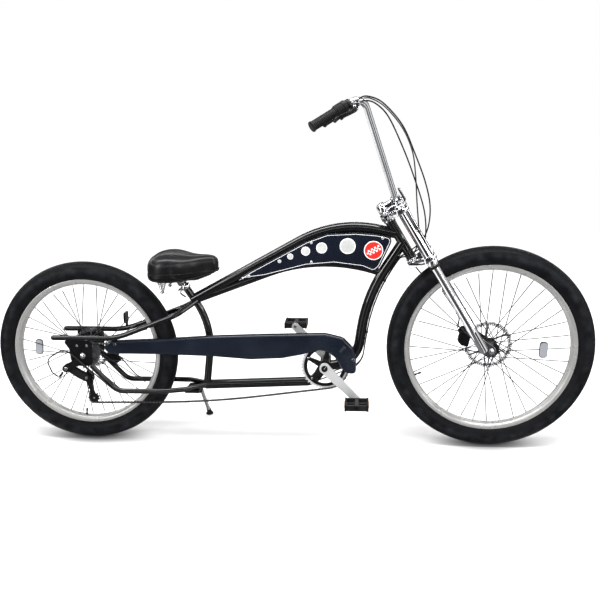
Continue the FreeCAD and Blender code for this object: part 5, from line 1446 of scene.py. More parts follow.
@dataclass
class Panels:
    """Tank side panels with a pinstripe, five silver dots and a red disc."""

    low: float = 19.4
    thick: float = 3.0
    outline: tuple[Pair, ...] = (
        (1172, 800), (1110, 812), (1034, 818), (930, 813), (852, 785), (640, 671), (596, 640), (700, 655),
        (851, 694), (955, 703), (1058, 690), (1100, 672), (1122, 690))
    dots: tuple[Triple, ...] = ((754, 711, 6.5), (794, 729, 11), (851, 749, 16.5), (910, 761, 20),
                                (1005, 768, 29))
    disc: Triple = (1099, 752, 35)
    screws: tuple[Pair, ...] = ((640, 654), (872, 780), (872, 708), (1132, 797))

    def build(self) -> None:
        """Makes both panels and what is painted or screwed on them."""
        shape = Shape()
        outline = soft_outline(self.outline, 34, 5)
        for side in (-1, 1):
            self.half(shape, outline, side)
        shape.piece("panel_pair", "frame", ["tank_panels"], "panel_paint", crease=35)

    def half(self, shape: Shape, outline: Sequence[Pair], side: int) -> None:
        """Adds the panel of one side."""
        face = self.low + self.thick
        rows = ((0.6, self.low), (0.0, self.low + 1.0), (0.2, face - 0.9), (1.0, face - 0.2), (2.2, face))
        shape.slab(outline, rows, Look.PANEL, side=side)
        outer, inner = shrink(outline, 5.6), shrink(outline, 7.2)
        strip = []
        for (ax, az), (bx, bz) in zip(outer, inner):
            strip.append([Vector((ax, side * (face - 0.3), az)), Vector((ax, side * (face + 0.14), az)),
                          Vector((bx, side * (face + 0.14), bz)), Vector((bx, side * (face - 0.3), bz))])
        shape.skin(strip, Look.WHITE, closed=True)
        out = Vector((0, side, 0))
        for x, z, radius in self.dots:
            base = Vector((x, side * (face - 0.4), z))
            shape.stack(base, out, ((0, 0.65, radius, Look.WHITE, 64, 0.1),
                                    (0, 0.95, radius * 0.86, Look.SILVER, 64, 0.1)))
        x, z, radius = self.disc
        base = Vector((x, side * (face - 0.4), z))
        shape.stack(base, out, ((0, 0.65, radius, Look.WHITE, 96, 0.1),
                                (0, 0.95, radius * 0.9, Look.RED, 96, 0.1)))
        self.chequers(shape, side, face + 0.5)
        for x, z in self.screws:
            base = Vector((x, side * (face - 0.4), z))
            shape.stack(base, out, ((0, 1.9, 5.0, Look.ALLOY, 24, 0.9),
                                    (1.2, 2.1, 1.6, Look.BLACK_METAL, 6, 0.1)))

    def chequers(self, shape: Shape, side: int, height: float) -> None:
        """Adds a chequered band of white squares across the red disc."""
        x, z, _ = self.disc
        size = 6.6
        turn = Matrix.Rotation(math.radians(28 * side), 4, "Y")
        place = Matrix.Translation((x, 0, z)) @ turn
        for row in range(-1, 2):
            for column in range(-4, 4):
                if (row + column) % 2:
                    continue
                low = min(side * height, side * (height + 0.14))
                shape.block((column * size, low, row * size - size / 2),
                            ((column + 1) * size, low + 0.14, row * size + size / 2), Look.WHITE, place)


@dataclass
class Seat:
    """Broad sprung saddle on its post."""

    top: Pair = (397.0, 603.0)
    sections: tuple[tuple[float, float, float, float, float], ...] = (
        (262, 58, 664, 690, 706), (274, 84, 650, 692, 727), (294, 102, 645, 696, 739),
        (324, 111, 643, 698, 746), (356, 111, 643, 699, 747), (386, 98, 644, 698, 741),
        (416, 74, 646, 697, 734), (446, 50, 650, 697, 731), (480, 35, 659, 698, 732),
        (506, 27, 667, 698, 729), (523, 15, 677, 697, 715))

    def build(self) -> None:
        """Makes the cover, its seams, the pan, the springs, rails and the post."""
        self.cover()
        self.seams()
        self.carrier()
        self.post()

    @staticmethod
    def around(x: float, half: float, low: float, shoulder: float, top: float) -> list[Vector]:
        """One section of the cover, from the left underside over the top."""
        rise = top - shoulder
        shape = ((0.72, low), (0.86, low + 2), (0.965, low + (shoulder - low) * 0.35),
                 (1.0, shoulder - 4), (0.975, shoulder + rise * 0.34), (0.86, shoulder + rise * 0.7),
                 (0.62, shoulder + rise * 0.93), (0.3, top), (0.0, top - 1.0))
        left = [Vector((x, half * wide, z)) for wide, z in shape]
        right = [Vector((point.x, -point.y, point.z)) for point in reversed(left[:-1])]
        return left + right

    def cover(self) -> None:
        """Padded cover with a crowned top and tucked flanks."""
        shape = Shape()
        loops = [self.around(*section) for section in self.sections]
        shape.skin(loops, Look.COVER)
        cushion = shape.piece("saddle_cushion", "frame", ["saddle"], "saddle_cover", rounds=2, crease=180)

    def rim_line(self, share: float, drop: float) -> list[Vector]:
        """Line round the cover at a share of its width, lowered from the shoulder."""
        left = [Vector((10 + x * 0.975, half * share, shoulder - drop))
                for x, half, _, shoulder, _ in self.sections]
        right = [Vector((point.x, -point.y, point.z)) for point in reversed(left)]
        nose = Vector((left[-1].x + 0.4, 0, left[-1].z))
        tail = Vector((left[0].x - 0.4, 0, left[0].z))
        return flowing([*left, nose, *right], 6) + [tail]

    def seams(self) -> None:
        """Piping along the shoulder and the hem of the cover."""
        shape = Shape()
        for share, drop, radius, look in ((0.985, 24, 1.3, Look.COVER), (0.95, 44, 2.2, Look.PLASTIC)):
            line = self.rim_line(share, drop)
            if drop > 40:
                lows = [section[2] for section in self.sections]
                xs = [section[0] for section in self.sections]
                line = [Vector((p.x, p.y, self.level(p.x, xs, lows) + 3)) for p in line]
            shape.bead(line, radius, look)
        shape.piece("saddle_piping", "frame", slot="saddle_cover", crease=60)

    @staticmethod
    def level(x: float, xs: Sequence[float], values: Sequence[float]) -> float:
        """Value at a place between the sections."""
        for (xa, va), (xb, vb) in zip(zip(xs, values), zip(xs[1:], values[1:])):
            if x <= xb:
                share = max(0.0, (x - xa) / (xb - xa))
                return va + (vb - va) * share
        return values[-1]

    def carrier(self) -> None:
        """Pan under the cover, bent rails, and the springs with their end plates."""
        shape = Shape()
        loops = []
        for x, half, low, _, _ in self.sections:
            wide = [half * 0.84 * share for share in (-1, -0.5, 0, 0.5, 1)]
            loops.append([Vector((x, y, low + 6)) for y in wide]
                         + [Vector((x, y, low - 1.5)) for y in reversed(wide)])
        shape.skin(loops, Look.PLASTIC)
        for side in (-1, 1):
            points = [Vector((318, side * 60, 641)), Vector((345, side * 24, 638)),
                      Vector((440, side * 19, 640)), Vector((494, side * 10, 660))]
            shape.tube(rounded(points, (26, 60)), 3.5, Look.CHROME, 18)
            self.spring(shape, Vector((318, side * 60, 598)))
        shape.tube(rounded([Vector((318, -60, 640)), Vector((292, -56, 640)), Vector((292, 56, 640)),
                            Vector((318, 60, 640))], (18, 18)), 3.5, Look.CHROME, 18)
        shape.piece("saddle_carrier", "frame", slot="chrome", crease=50)

    @staticmethod
    def spring(shape: Shape, foot: Vector) -> None:
        """Adds a coil spring that narrows towards its foot, with its washers and foot screw."""
        turns, height, steps = 5.0, 38.0, 30
        line = []
        for index in range(int(turns * steps) + 1):
            share = index / (turns * steps)
            reach = 5.5 + 10.5 * share
            angle = 2 * math.pi * turns * share
            line.append(foot + Vector((reach * math.cos(angle), reach * math.sin(angle),
                                       3 + height * share)))
        shape.tube(line, 2.3, Look.CHROME, 12)
        up = Vector((0, 0, 1))
        shape.stack(foot, up, (
            (-1, 3, 8.5, Look.CHROME, 36, 1.2), (2, height + 4, 2.6, Look.STEEL, 16, 0.6),
            (height + 2, height + 6, 17.5, Look.CHROME, 36, 1.2), (-5, -1, 4.5, Look.STEEL, 6, 0.6)))

    def post(self) -> None:
        """Chrome post, seat clamp with its quick lever, and the head that grips the rails."""
        shape = Shape()
        foot = Vector((self.top[0], 0, self.top[1]))
        up = Vector((-0.545, 0, 0.838)).normalized()
        side = Vector((0, 1, 0))
        shape.rod(foot - up * 4, foot + up * 36, 12.7, Look.CHROME, 48)
        collar = ((14.4, -1), (17.6, -1), (18.6, 0.2), (18.6, 14.8), (17.6, 16), (12.8, 16))
        shape.lathe(collar, Look.CHROME, along(foot, up), 64)
        ahead = up.cross(side).normalized()
        lug = foot + up * 7.5 + ahead * 22
        shape.stack(lug, side, ((-13, 13, 6.2, Look.CHROME, 28, 1),
                                (-17, -12, 7.4, Look.CHROME, 28, 1.2)))
        lever = rounded([lug - side * 16, lug - side * 20 - up * 10 + ahead * 4,
                         lug - side * 22 - up * 34 - ahead * 6], (12,))
        shape.section(lever, [(4.2 * a, 2.2 * b) for a, b in circle(1.0, 14)], Look.CHROME)
        head = foot + up * 31
        shape.rod(head - side * 27, head + side * 27, 13.5, Look.CHROME, 40, 1.6)
        for sign in (-1, 1):
            shape.rod(head + side * sign * 26, head + side * sign * 32, 8.0, Look.STEEL, 6, 1.0)
            grip = head + side * sign * 13 + up * 4
            shape.rod(grip - ahead * 14, grip + ahead * 14, 9.5, Look.CHROME, 30, 1.4)
        shape.piece("saddle_post", "frame", ["seat_post"], "chrome", 0.5, crease=45)


@dataclass
class Fork:
    """Chrome double-crown fork with its axle."""

    place: Matrix
    offset: float = 58.0
    spacing: float = 68.0
    axle_offset: float = FRONT_AXLE[0]
    drop: float = -FRONT_AXLE[2]
    crown: float = 20.0

    def build(self) -> None:
        """Makes crowns, legs and the axle."""
        self.crowns()
        self.legs()
        self.axle()

    def crowns(self) -> None:
        """Forged crowns with pinch bolts, and the steerer with its top nut."""
        shape = Shape()
        reach = 26.0
        corners = ((-24, -19), (-24, 19), (self.offset - 20, self.spacing + reach),
                   (self.offset + 12, self.spacing + reach), (self.offset + reach, self.spacing + 8),
                   (self.offset + 13, 0), (self.offset + reach, -self.spacing - 8),
                   (self.offset + 12, -self.spacing - reach), (self.offset - 20, -self.spacing - reach))
        outline = soft_outline(corners, 18, 6)
        for low in (10.0, -189.0):
            loops = []
            for inset, rise in ((1.8, 0), (0.5, 0.6), (0.0, 2), (0.0, self.crown - 2),
                                (0.5, self.crown - 0.6), (1.8, self.crown)):
                loops.append([Vector((x, y, low + rise)) for x, y in shrink(outline, inset)])
            shape.skin(loops, Look.CHROME)
            for side in (-1, 1):
                spot = Vector((self.offset + 4, side * (self.spacing + 21), low + self.crown / 2))
                shape.stack(spot, Vector((0, side, 0)), ((0, 8, 4.6, Look.STEEL, 20, 0.8),
                                                         (7, 8.6, 2.2, Look.BLACK_METAL, 6, 0.2)))
        shape.stack(Vector(), Vector((0, 0, 1)), (
            (-189, 68, 12.7, Look.CHROME, 40), (66, 71, 15.5, Look.CHROME, 40, 2),
            (70, 73, 5, Look.BLACK_METAL, 6, 0.5)))
        shape.piece("crown_pair", "steering", ["fork_crowns"], "chrome", place=self.place, crease=40)

    def legs(self) -> None:
        """Thick upper legs with caps, wiper rings, slimmer lower legs and axle plates."""
        shape = Shape()
        end = -self.drop + 16
        for side in (-1, 1):
            foot = Matrix.Translation((self.offset, side * self.spacing, 0))
            upper = ((0.01, 41), (9, 41), (15, 39.6), (18.5, 36.5), (20, 32), (20, -186), (20.9, -190),
                     (20.9, -204), (19.8, -208), (17.3, -209), (17, -212), (17, -470), (17.8, -476),
                     (17.8, -500), (17, -506), (17, end + 8), (13, end), (0.01, end - 2))
            shape.lathe(upper, Look.CHROME, foot, 64)
            ring = ((17.1, -210), (20.0, -211), (20.4, -214), (20.0, -220), (17.1, -221))
            shape.lathe(ring, Look.RUBBER, foot, 64)
            cap = ((0.01, 42.6), (6.5, 42.6), (8.2, 41.4), (8.2, 39), (0.01, 39))
            shape.lathe(cap, Look.BLACK_METAL, foot, 6)
            self.axle_plate(shape, side, end)
        shape.piece("leg_pair", "steering", ["fork_legs"], "chrome", place=self.place, crease=32)

    def axle_plate(self, shape: Shape, side: int, end: float) -> None:
        """Adds the plate that carries the axle, on one side."""
        x, ax, low = self.offset, self.axle_offset, -self.drop
        corners = ((x - 14, end + 44), (x + 16, end + 44), (ax + 17, low + 8), (ax + 14, low - 13),
                   (ax - 12, low - 17), (x - 13, end - 2))
        outline = soft_outline(corners, 13, 6)
        rows = ((0.9, 0.0), (0.0, 0.9), (0.0, 5.1), (0.9, 6.0))
        shape.slab(outline, rows, Look.CHROME, side * 53 - 3)

    def axle(self) -> None:
        """Front axle with its nuts."""
        shape = Shape()
        axle_ends(shape, WHEELBASE, FRONT_RADIUS, 56.0)
        shape.piece("front_axle_nuts", "steering", ["front_axle"], "steel")


@dataclass
class Cockpit:
    """High handlebar with stem, grips, twist shifters and brake levers."""

    place: Matrix
    clamp: Pair = (56.0, 54.0)
    clamp_half: float = 62.0
    top: Triple = (138.0, 262.0, 428.0)
    end: Triple = (-44.0, 360.0, 426.0)
    bar_radius: float = 11.1
    grip: float = 92.0
    shifter: float = 44.0

    def corners(self, side: int) -> list[Vector]:
        """Corners of one half of the bar."""
        return [Vector((self.clamp[0], 0, self.clamp[1])),
                Vector((self.clamp[0], side * self.clamp_half, self.clamp[1])),
                Vector((self.top[0], side * self.top[1], self.top[2])),
                Vector((self.end[0], side * self.end[1], self.end[2]))]

    def build(self) -> None:
        """Makes the bar and what is clamped on it."""
        self.bar()
        self.stem()
        self.grips()
        self.levers()
        self.reflector()

    def bar(self) -> None:
        """Bent chrome tube."""
        left, right = self.corners(1), self.corners(-1)
        path = rounded(left[:0:-1] + right[1:], (48, 45, 45, 48), 3)
        shape = Shape().tube(path, self.bar_radius, Look.CHROME, 36)
        shape.piece("bar_tube", "steering", ["handlebar"], "chrome", place=self.place, crease=60)

    def stem(self) -> None:
        """Stem with a split clamp and four bolts."""
        shape = Shape()
        x, z = self.clamp
        post = ((12.9, 35), (19, 35), (20, 36.2), (20, 64), (19, 65.2), (12.9, 65.2))
        shape.lathe(post, Look.CHROME, steps=64)
        loops = []
        for share in range(9):
            along_x = 8 + (x - 8) * share / 8
            half_y = 17.5 - 2.5 * math.sin(math.pi * share / 8)
            half_z = 14.5 - 2.0 * math.sin(math.pi * share / 8)
            outline = soft_outline(((half_y, half_z), (-half_y, half_z), (-half_y, -half_z),
                                    (half_y, -half_z)), 7, 4)
            loops.append([Vector((along_x, a, z - 2 + b)) for a, b in outline])
        shape.skin(loops, Look.CHROME)
        for low, high in ((-29, -0.8), (0.8, 29)):
            clamp = ((11.2, low), (17.4, low), (18.8, low + 1.6), (18.8, high - 1.6), (17.4, high),
                     (11.2, high))
            shape.lathe(clamp, Look.CHROME, Matrix.Translation((x, 0, z)) @ WHEEL_AXIS, 56)
        for y in (-20, 20):
            for rise in (-15, 15):
                spot = Vector((x + 2, y, z + rise))
                shape.stack(spot, Vector((1, 0, 0)), ((-6, 15, 5.6, Look.CHROME, 24, 1),
                                                      (14, 17, 4.2, Look.STEEL, 20, 0.6)))
        shape.piece("stem_clamp", "steering", ["stem"], "chrome", 0.5, place=self.place, crease=40)

    def line(self, side: int) -> tuple[Vector, Vector]:
        """End of the bar and the direction back along the grip."""
        points = self.corners(side)
        return points[3], (points[2] - points[3]).normalized()

    def grips(self) -> None:
        """Ribbed rubber grips with end caps, and the shifters with their housings."""
        shape = Shape()
        for side in (-1, 1):
            end, way = self.line(side)
            outline: list[Pair] = [(0.01, -5), (14, -5), (17.6, -3.4), (18, -1.5), (17.6, 0.6),
                                   (15.4, 1.4)]
            ribs = 15
            for rib in range(ribs):
                low = 3 + (self.grip - 6) * rib / ribs
                step = (self.grip - 6) / ribs
                outline += [(14.6, low), (15.9, low + step * 0.25), (15.9, low + step * 0.7),
                            (14.6, low + step * 0.9)]
            outline += [(17.4, self.grip - 2), (17.4, self.grip), (0.01, self.grip)]
            shape.lathe(outline, Look.RUBBER, along(end, way), 48)
            start = self.grip + 1
            knob: list[Pair] = [(0.01, start), (17.5, start), (18.6, start + 1)]
            for ridge in range(7):
                low = start + 2 + ridge * 3.3
                knob += [(18.9, low), (19.9, low + 0.8), (19.9, low + 2.0), (18.9, low + 2.8)]
            knob += [(18, start + 26), (0.01, start + 26)]
            shape.lathe(knob, Look.RUBBER, along(end, way), 48)
            case = ((0.01, start + 26.6), (19, start + 26.6), (20, start + 28), (20, start + 40),
                    (17, start + 43), (0.01, start + 43))
            shape.lathe(case, Look.PLASTIC, along(end, way), 48)
        shape.piece("grip_pair", "steering", ["grips"], "grip_rubber", place=self.place, crease=40)

    def levers(self) -> None:
        """Lever brackets with a barrel adjuster and curved two-finger blades."""
        shape = Shape()
        for side in (-1, 1):
            end, way = self.line(side)
            start = self.grip + self.shifter + 1
            frame = along(end, way)
            lean = frame.to_3x3().inverted() @ Vector((0.35, side * 0.75, -0.55))
            out = frame.to_3x3() @ Vector((lean.x, lean.y, 0)).normalized()
            centre = end + way * (start + 7.5)
            shape.rod(end + way * start, end + way * (start + 15), 16, Look.PLASTIC, 40, 1.6)
            pivot = centre + out * 36
            body = [centre + out * 8, centre + out * 22 + way * 2, pivot]
            shape.section(flowing(body, 5), [(8.2 * a, 6.4 * b) for a, b in circle(1.0, 18)],
                          Look.PLASTIC)
            across = way.cross(out)
            shape.rod(pivot - across * 8, pivot + across * 8, 5.2, Look.STEEL, 24, 0.8)
            barrel = centre + out * 24
            shape.stack(barrel, way, ((6, 24, 4.6, Look.PLASTIC, 20), (22, 27, 3.4, Look.STEEL, 20)))
            reach = self.grip + self.shifter - 2
            blade = [pivot + way * 3, pivot + out * 9 - way * 14, pivot + out * 7 - way * 42,
                     pivot + out * 1 - way * (reach * 0.52), pivot + out * 7 - way * (reach * 0.68)]
            self.blade(shape, flowing(blade, 7), across, out)
        shape.piece("lever_pair", "steering", ["brake_levers"], "lever_black", 0.4, place=self.place,
                    crease=50)

    @staticmethod
    def blade(shape: Shape, path: Sequence[Vector], across: Vector, out: Vector) -> None:
        """Adds a flat lever blade that narrows towards its rounded end."""
        loops = []
        count = len(path) - 1
        for index, (point, way) in enumerate(zip(path, headings(path))):
            share = index / count
            wide = 8.5 - 2.2 * math.sin(math.pi * share) - 5.5 * max(0.0, share - 0.92) / 0.08
            thick = 3.4 - 1.0 * share
            normal = (out - way * out.dot(way)).normalized()
            loops.append([point + across * a * wide + normal * b * thick for a, b in circle(1.0, 16)])
        shape.skin(loops, Look.BLACK_METAL)

    def reflector(self) -> None:
        """Clear front reflector in a black frame on a bent strap."""
        shape = Shape()
        x, z = self.clamp
        outline = soft_outline(((-25, -18), (25, -18), (25, 32), (-25, 32)), 9, 5)
        for low, high, inset, look in ((25, 30.5, 0.0, Look.PLASTIC), (30, 34, 3.0, Look.CLEAR_LENS)):
            loops = [[Vector((x + depth, a, z + b)) for a, b in shrink(outline, inset)]
                     for depth in (low, high)]
            shape.skin(loops, look)
        shape.block((x + 18, -6, z - 4), (x + 27, 6, z - 1), Look.BLACK_METAL)
        shape.piece("front_lens", "steering", ["front_reflector"], "clear_lens", 0.8, place=self.place)


@dataclass
class Brakes:
    """Disc brake calipers on their brackets."""

    fork_place: Matrix

    def build(self) -> None:
        """Makes both calipers."""
        rear = Matrix.Translation((0, 0, REAR_RADIUS)) @ Matrix.Rotation(math.radians(20), 4, "Y")
        shape = Shape()
        self.caliper(shape, rear, 80, 48)
        bracket = soft_outline(((52, 288), (72, 268), (108, 296), (96, 316), (64, 312)), 6, 4)
        shape.plate(bracket, 59, 6, Look.BLACK_METAL)
        shape.piece("rear_brake", "frame", ["rear_caliper"], "black_metal", 1.2)
        front = Matrix.Translation(FRONT_AXLE) @ Matrix.Rotation(math.radians(-137), 4, "Y")
        shape = Shape()
        self.caliper(shape, front, 90, 39)
        bracket = soft_outline(((8, -500), (8, -540), (50, -548), (56, -512), (30, -492)), 6, 4)
        shape.plate(bracket, 50.5, 7, Look.BLACK_METAL)
        shape.piece("front_brake", "steering", ["front_caliper"], "black_metal", 1.2,
                    place=self.fork_place)

    @staticmethod
    def caliper(shape: Shape, place: Matrix, disc_radius: float, disc_y: float) -> None:
        """Adds one caliper over the edge of its disc, X along the disc's radius."""
        low, length, depth = disc_radius - 18.0, 48.0, 42.0
        nose = ((low + depth * 0.6, -length / 2), (low + depth, -length * 0.26),
                (low + depth, length * 0.26), (low + depth * 0.6, length / 2))
        outline = soft_outline(((low, -length / 2), *nose, (low, length / 2)), 7, 4)
        shape.plate(outline, disc_y - 9.9, 7.5, Look.BLACK_METAL, place)
        shape.plate(outline, disc_y + 2.4, 14.6, Look.BLACK_METAL, place)
        bridge = soft_outline(((low + 18, -length / 2), *nose, (low + 18, length / 2)), 6, 4)
        shape.plate(bridge, disc_y - 4, 8, Look.BLACK_METAL, place)
        turn = place.to_3x3()
        knob = place @ Vector((low + 16, disc_y + 16, 0))
        out = turn @ Vector((0, 1, 0))
        shape.stack(knob, out, ((0, 4, 11, Look.STEEL, 32, 1), (3, 6, 5, Look.BLACK_METAL, 6, 0.5)))
        for z in (-17, 17):
            spot = place @ Vector((low + 30, disc_y + 16, z))
            shape.rod(spot, spot + out * 4, 4.2, Look.STEEL, 20, 0.8)


@dataclass
class Stand:
    """Side stand under the chain stays."""

    pivot: Triple = (423.0, 44.0, 188.0)
    foot: Pair = (424.0, 207.0)
    lean: float = 5.0
    tip: float = 29.0

    def build(self) -> None:
        """Makes the bracket and the leg."""
        pivot = Vector(self.pivot)
        axis = Vector((0, math.cos(math.radians(self.tip)), math.sin(math.radians(self.tip))))
        shape = Shape()
        plate = soft_outline(((383, 202), (439, 202), (439, 211.5), (383, 211.5)), 2, 2)
        shape.plate(plate, -52, 94, Look.BLACK_METAL)
        shape.rod(pivot - axis * 16, pivot, 11, Look.BLACK_METAL, 32, 1.2)
        shape.block((413, 24, 180), (433, 36, 204), Look.BLACK_METAL)
        shape.rod(pivot + axis * 19.6, pivot + axis * 24.6, 8, Look.CHROME, 6, 1.0)
        for x in (395, 427):
            shape.rod(Vector((x, 0, 202)), Vector((x, 0, 198)), 6, Look.STEEL, 6, 0.8)
        shape.piece("stand_mount", "frame", ["stand_bracket"], "black_metal", 0.8)
        shape = Shape()
        base = pivot + axis * 0.3
        middle = base + axis * 8
        ground = self.foot[1] * math.tan(math.radians(self.lean))
        foot = Vector((self.foot[0], self.foot[1], ground + 6))
        way = (foot - middle).normalized()
        shape.rod(base, base + axis * 19, 12, Look.STEEL, 36, 1.4)
        shape.rod(middle, foot, 7.6, Look.STEEL, 28)
        sleeve = foot - way * 34
        shape.turned(((0, 0), (8.2, 0), (9.4, 2), (9.6, 30), (0, 30)), Look.RUBBER, sleeve, way, 32)
        up = Vector((0, -math.sin(math.radians(self.lean)), math.cos(math.radians(self.lean))))
        sole = Vector((self.foot[0], self.foot[1], ground))
        shape.turned(((0, 0), (13.6, 0), (15, 1.4), (15, 5), (11, 11), (0, 12)), Look.RUBBER, sole, up,
                     36)
        shape.piece("stand_bar", "stand", ["stand_leg"], "steel")


@dataclass
class Cables:
    """Brake and gear cables: clipped to the frame, free between the head tube and the bar."""

    fork_place: Matrix
    radius: float = 2.5
    frame_route: tuple[Quad, ...] = (
        (1188, 4, 711, 0), (1098, 4, 571, 622), (1056.2, 4, 298.3, 80), (985, 21, 288, 80),
        (868, 21.2, 240.5, 120), (468.7, 23, 222, 120), (389.6, 70.8, 219.5, 90),
        (301.1, 85.4, 215.5, 150))
    brake_end: tuple[Quad, ...] = ((165, 85.4, 214, 50), (102, 56, 314, 0))
    gear_end: tuple[Quad, ...] = (
        (126, 85.4, 214, 60), (-64, 85, 384, 32), (-142, 78, 338, 32), (-124, 71, 282, 24),
        (-95, 70, 262, 0))
    front_route: tuple[Triple, ...] = (
        (100.8, 304.4, 414.1), (128, 288, 426), (160, 268, 412), (192, 246, 355), (208, 200, 258),
        (197, 150, 167), (165, 112, 90), (118, 78, 0), (84, 52, -68), (60, 43, -114), (30, 46, -146),
        (-3, 52, -170), (-4, 60, -225), (14, 66, -290), (38.2, 68, -350), (38.2, 68, -450),
        (30, 65, -474), (12, 59.5, -493))
    brake_bar: tuple[Triple, ...] = (
        (100.8, -304.4, 414.1), (122, -290, 424), (150, -270, 416), (182, -246, 372), (201, -205, 278),
        (192, -160, 177), (176, -115, 71), (150, -76, -16), (108, -50, -82), (60, -38, -118),
        (6, -34, -128))
    gear_bar: tuple[Triple, ...] = (
        (70.6, -286.3, 411.3), (100, -280, 416), (134, -268, 410), (160, -252, 384), (175, -224, 325),
        (167, -170, 213), (150, -115, 98), (126, -70, -16), (92, -44, -94), (58, -31, -134),
        (6, -28, -142))
    clips: tuple[Triple, ...] = ((1140, 4, 636), (1066, 4, 440), (760, 21, 236), (560, 21, 226),
                                 (240, 85, 215))
    leg: Pair = (58.0, 68.0)

    def build(self) -> None:
        """Makes the clipped runs, the runs on the bar and the free lengths between them."""
        shape = Shape()
        for side, end in ((1, self.brake_end), (-1, self.gear_end)):
            line = self.line((*self.frame_route, *end), side)
            self.cable(shape, line, (False, True))
            for x, y, z in self.clips:
                self.clip(shape, line, Vector((x, side * y, z)))
        shape.piece("frame_cable_runs", "frame", ["rear_cables"], "cable_black", crease=50)
        shape = Shape()
        for route, sleeves in ((self.brake_bar, (True, False)), (self.gear_bar, (True, False)),
                               (self.front_route, (True, True))):
            self.cable(shape, self.curve(route), sleeves)
        for height in (-356, -444):
            self.tie(shape, height)
        shape.piece("bar_cable_runs", "steering", ["bar_cables"], "cable_black",
                    place=self.fork_place, crease=50)
        self.free_length("brake_cable_loop", self.brake_bar, 1)
        self.free_length("gear_cable_loop", self.gear_bar, -1)

    @staticmethod
    def line(route: Sequence[Quad], side: int) -> list[Vector]:
        """Points of a route on one side of the bicycle."""
        corners = [Vector((x, side * y, z)) for x, y, z, _ in route]
        return rounded(corners, [radius for *_, radius in route[1:-1]], 5)

    def cable(self, shape: Shape, line: Sequence[Vector], sleeves: tuple[bool, bool]) -> None:
        """Adds a cable with a sleeve and a ferrule at the ends that have one."""
        shape.tube(line, self.radius, Look.CABLE, 14)
        for end, sleeved in zip((0, -1), sleeves):
            if sleeved:
                tip = line[end]
                back = (line[1 if end == 0 else -2] - tip).normalized()
                shape.stack(tip, back, ((0, 11, self.radius + 0.7, Look.STEEL, 18, 0.5),
                                        (10, 24, self.radius + 0.45, Look.RUBBER, 18, 0.4)))

    def clip(self, shape: Shape, line: Sequence[Vector], near: Vector) -> None:
        """Adds a band with its screw round the cable at the point nearest to a place."""
        best = min(range(1, len(line)), key=lambda index: self.reach(line, index, near))
        start, end = line[best - 1], line[best]
        way = (end - start).normalized()
        spot = start + way * max(0.0, min((near - start).dot(way), (end - start).length))
        shape.stack(spot, way, ((-4, 4, 4.2, Look.PLASTIC, 20, 0.8),
                                (-1.4, 1.4, 4.8, Look.PLASTIC, 20, 0.4)))

    @staticmethod
    def reach(line: Sequence[Vector], index: int, near: Vector) -> float:
        """Distance from a place to one run of a line."""
        start, run = line[index - 1], line[index] - line[index - 1]
        share = max(0.0, min(1.0, (near - start).dot(run) / run.length_squared))
        return (start + run * share - near).length

    @staticmethod
    def curve(route: Sequence[Triple]) -> list[Vector]:
        """Smooth line through the points of a hanging cable."""
        return flowing([Vector(point) for point in route], 8)

    def tie(self, shape: Shape, height: float) -> None:
        """Adds a strap that holds the front brake cable to its fork leg."""
        x, y = self.leg
        reach, back = 18.0, 23.4
        corners = [(x + reach * math.cos(math.radians(a)), y + reach * math.sin(math.radians(a)))
                   for a in range(-150, 151, 12)]
        corners += [(x - back, y + 2.4), (x - back, y - 2.4)]
        for level in (height, height + 2.2):
            shape.bead([Vector((x, y, level)) for x, y in corners], 0.9, Look.PLASTIC)

    def free_length(self, name: str, route: Sequence[Triple], side: int) -> None:
        """Makes the free length of cable between the bar and the head tube, fixed in its straight-ahead
        shape.
        """
        upper = [self.fork_place @ point for point in self.curve(route)[-2:]]
        lower = self.line(self.frame_route, side)[:2]
        start, end = upper[-1], lower[0]
        into, out = (upper[1] - upper[0]).normalized(), (lower[1] - lower[0]).normalized()
        pull = (end - start).length * 0.5
        knots = [start - into * 6, start, start + into * pull, end - out * pull, end, end + out * 6]
        path = [knots[0]]
        for index in range(33):
            t = index / 32
            path.append(start * (1 - t) ** 3 + knots[2] * 3 * t * (1 - t) ** 2
                        + knots[3] * 3 * t * t * (1 - t) + end * t ** 3)
        path.append(knots[-1])
        shape = Shape().tube(path, self.radius + 0.25, Look.CABLE, 14)
        shape.blended(name, ("steering", "frame"), (start, end), "cable_black")


@dataclass
class TailReflector:
    """Red reflector in a black housing on the left seat stay."""

    y: float = 68.0

    def build(self) -> None:
        """Makes the housing, the lens and the post."""
        shape = Shape()
        face = soft_outline(((-22, -21), (22, -21), (22, 21), (-22, 21)), 9, 5)
        for low, high, inset, look in ((131, 138, 0.0, Look.PLASTIC), (129.6, 132, 2.4, Look.RED_LENS)):
            loops = [[Vector((x, self.y + a, 470 + b)) for a, b in shrink(face, inset)]
                     for x in (low, high)]
            shape.skin(loops, look)
        shape.stack(Vector((136, self.y, 0)), Vector((0, 0, 1)), (
            (428, 456, 5, Look.BLACK_METAL, 24), (429, 436, 8, Look.BLACK_METAL, 6)))
        shape.piece("tail_lens", "frame", ["tail_reflector"], "red_lens", 0.8)


# Picture


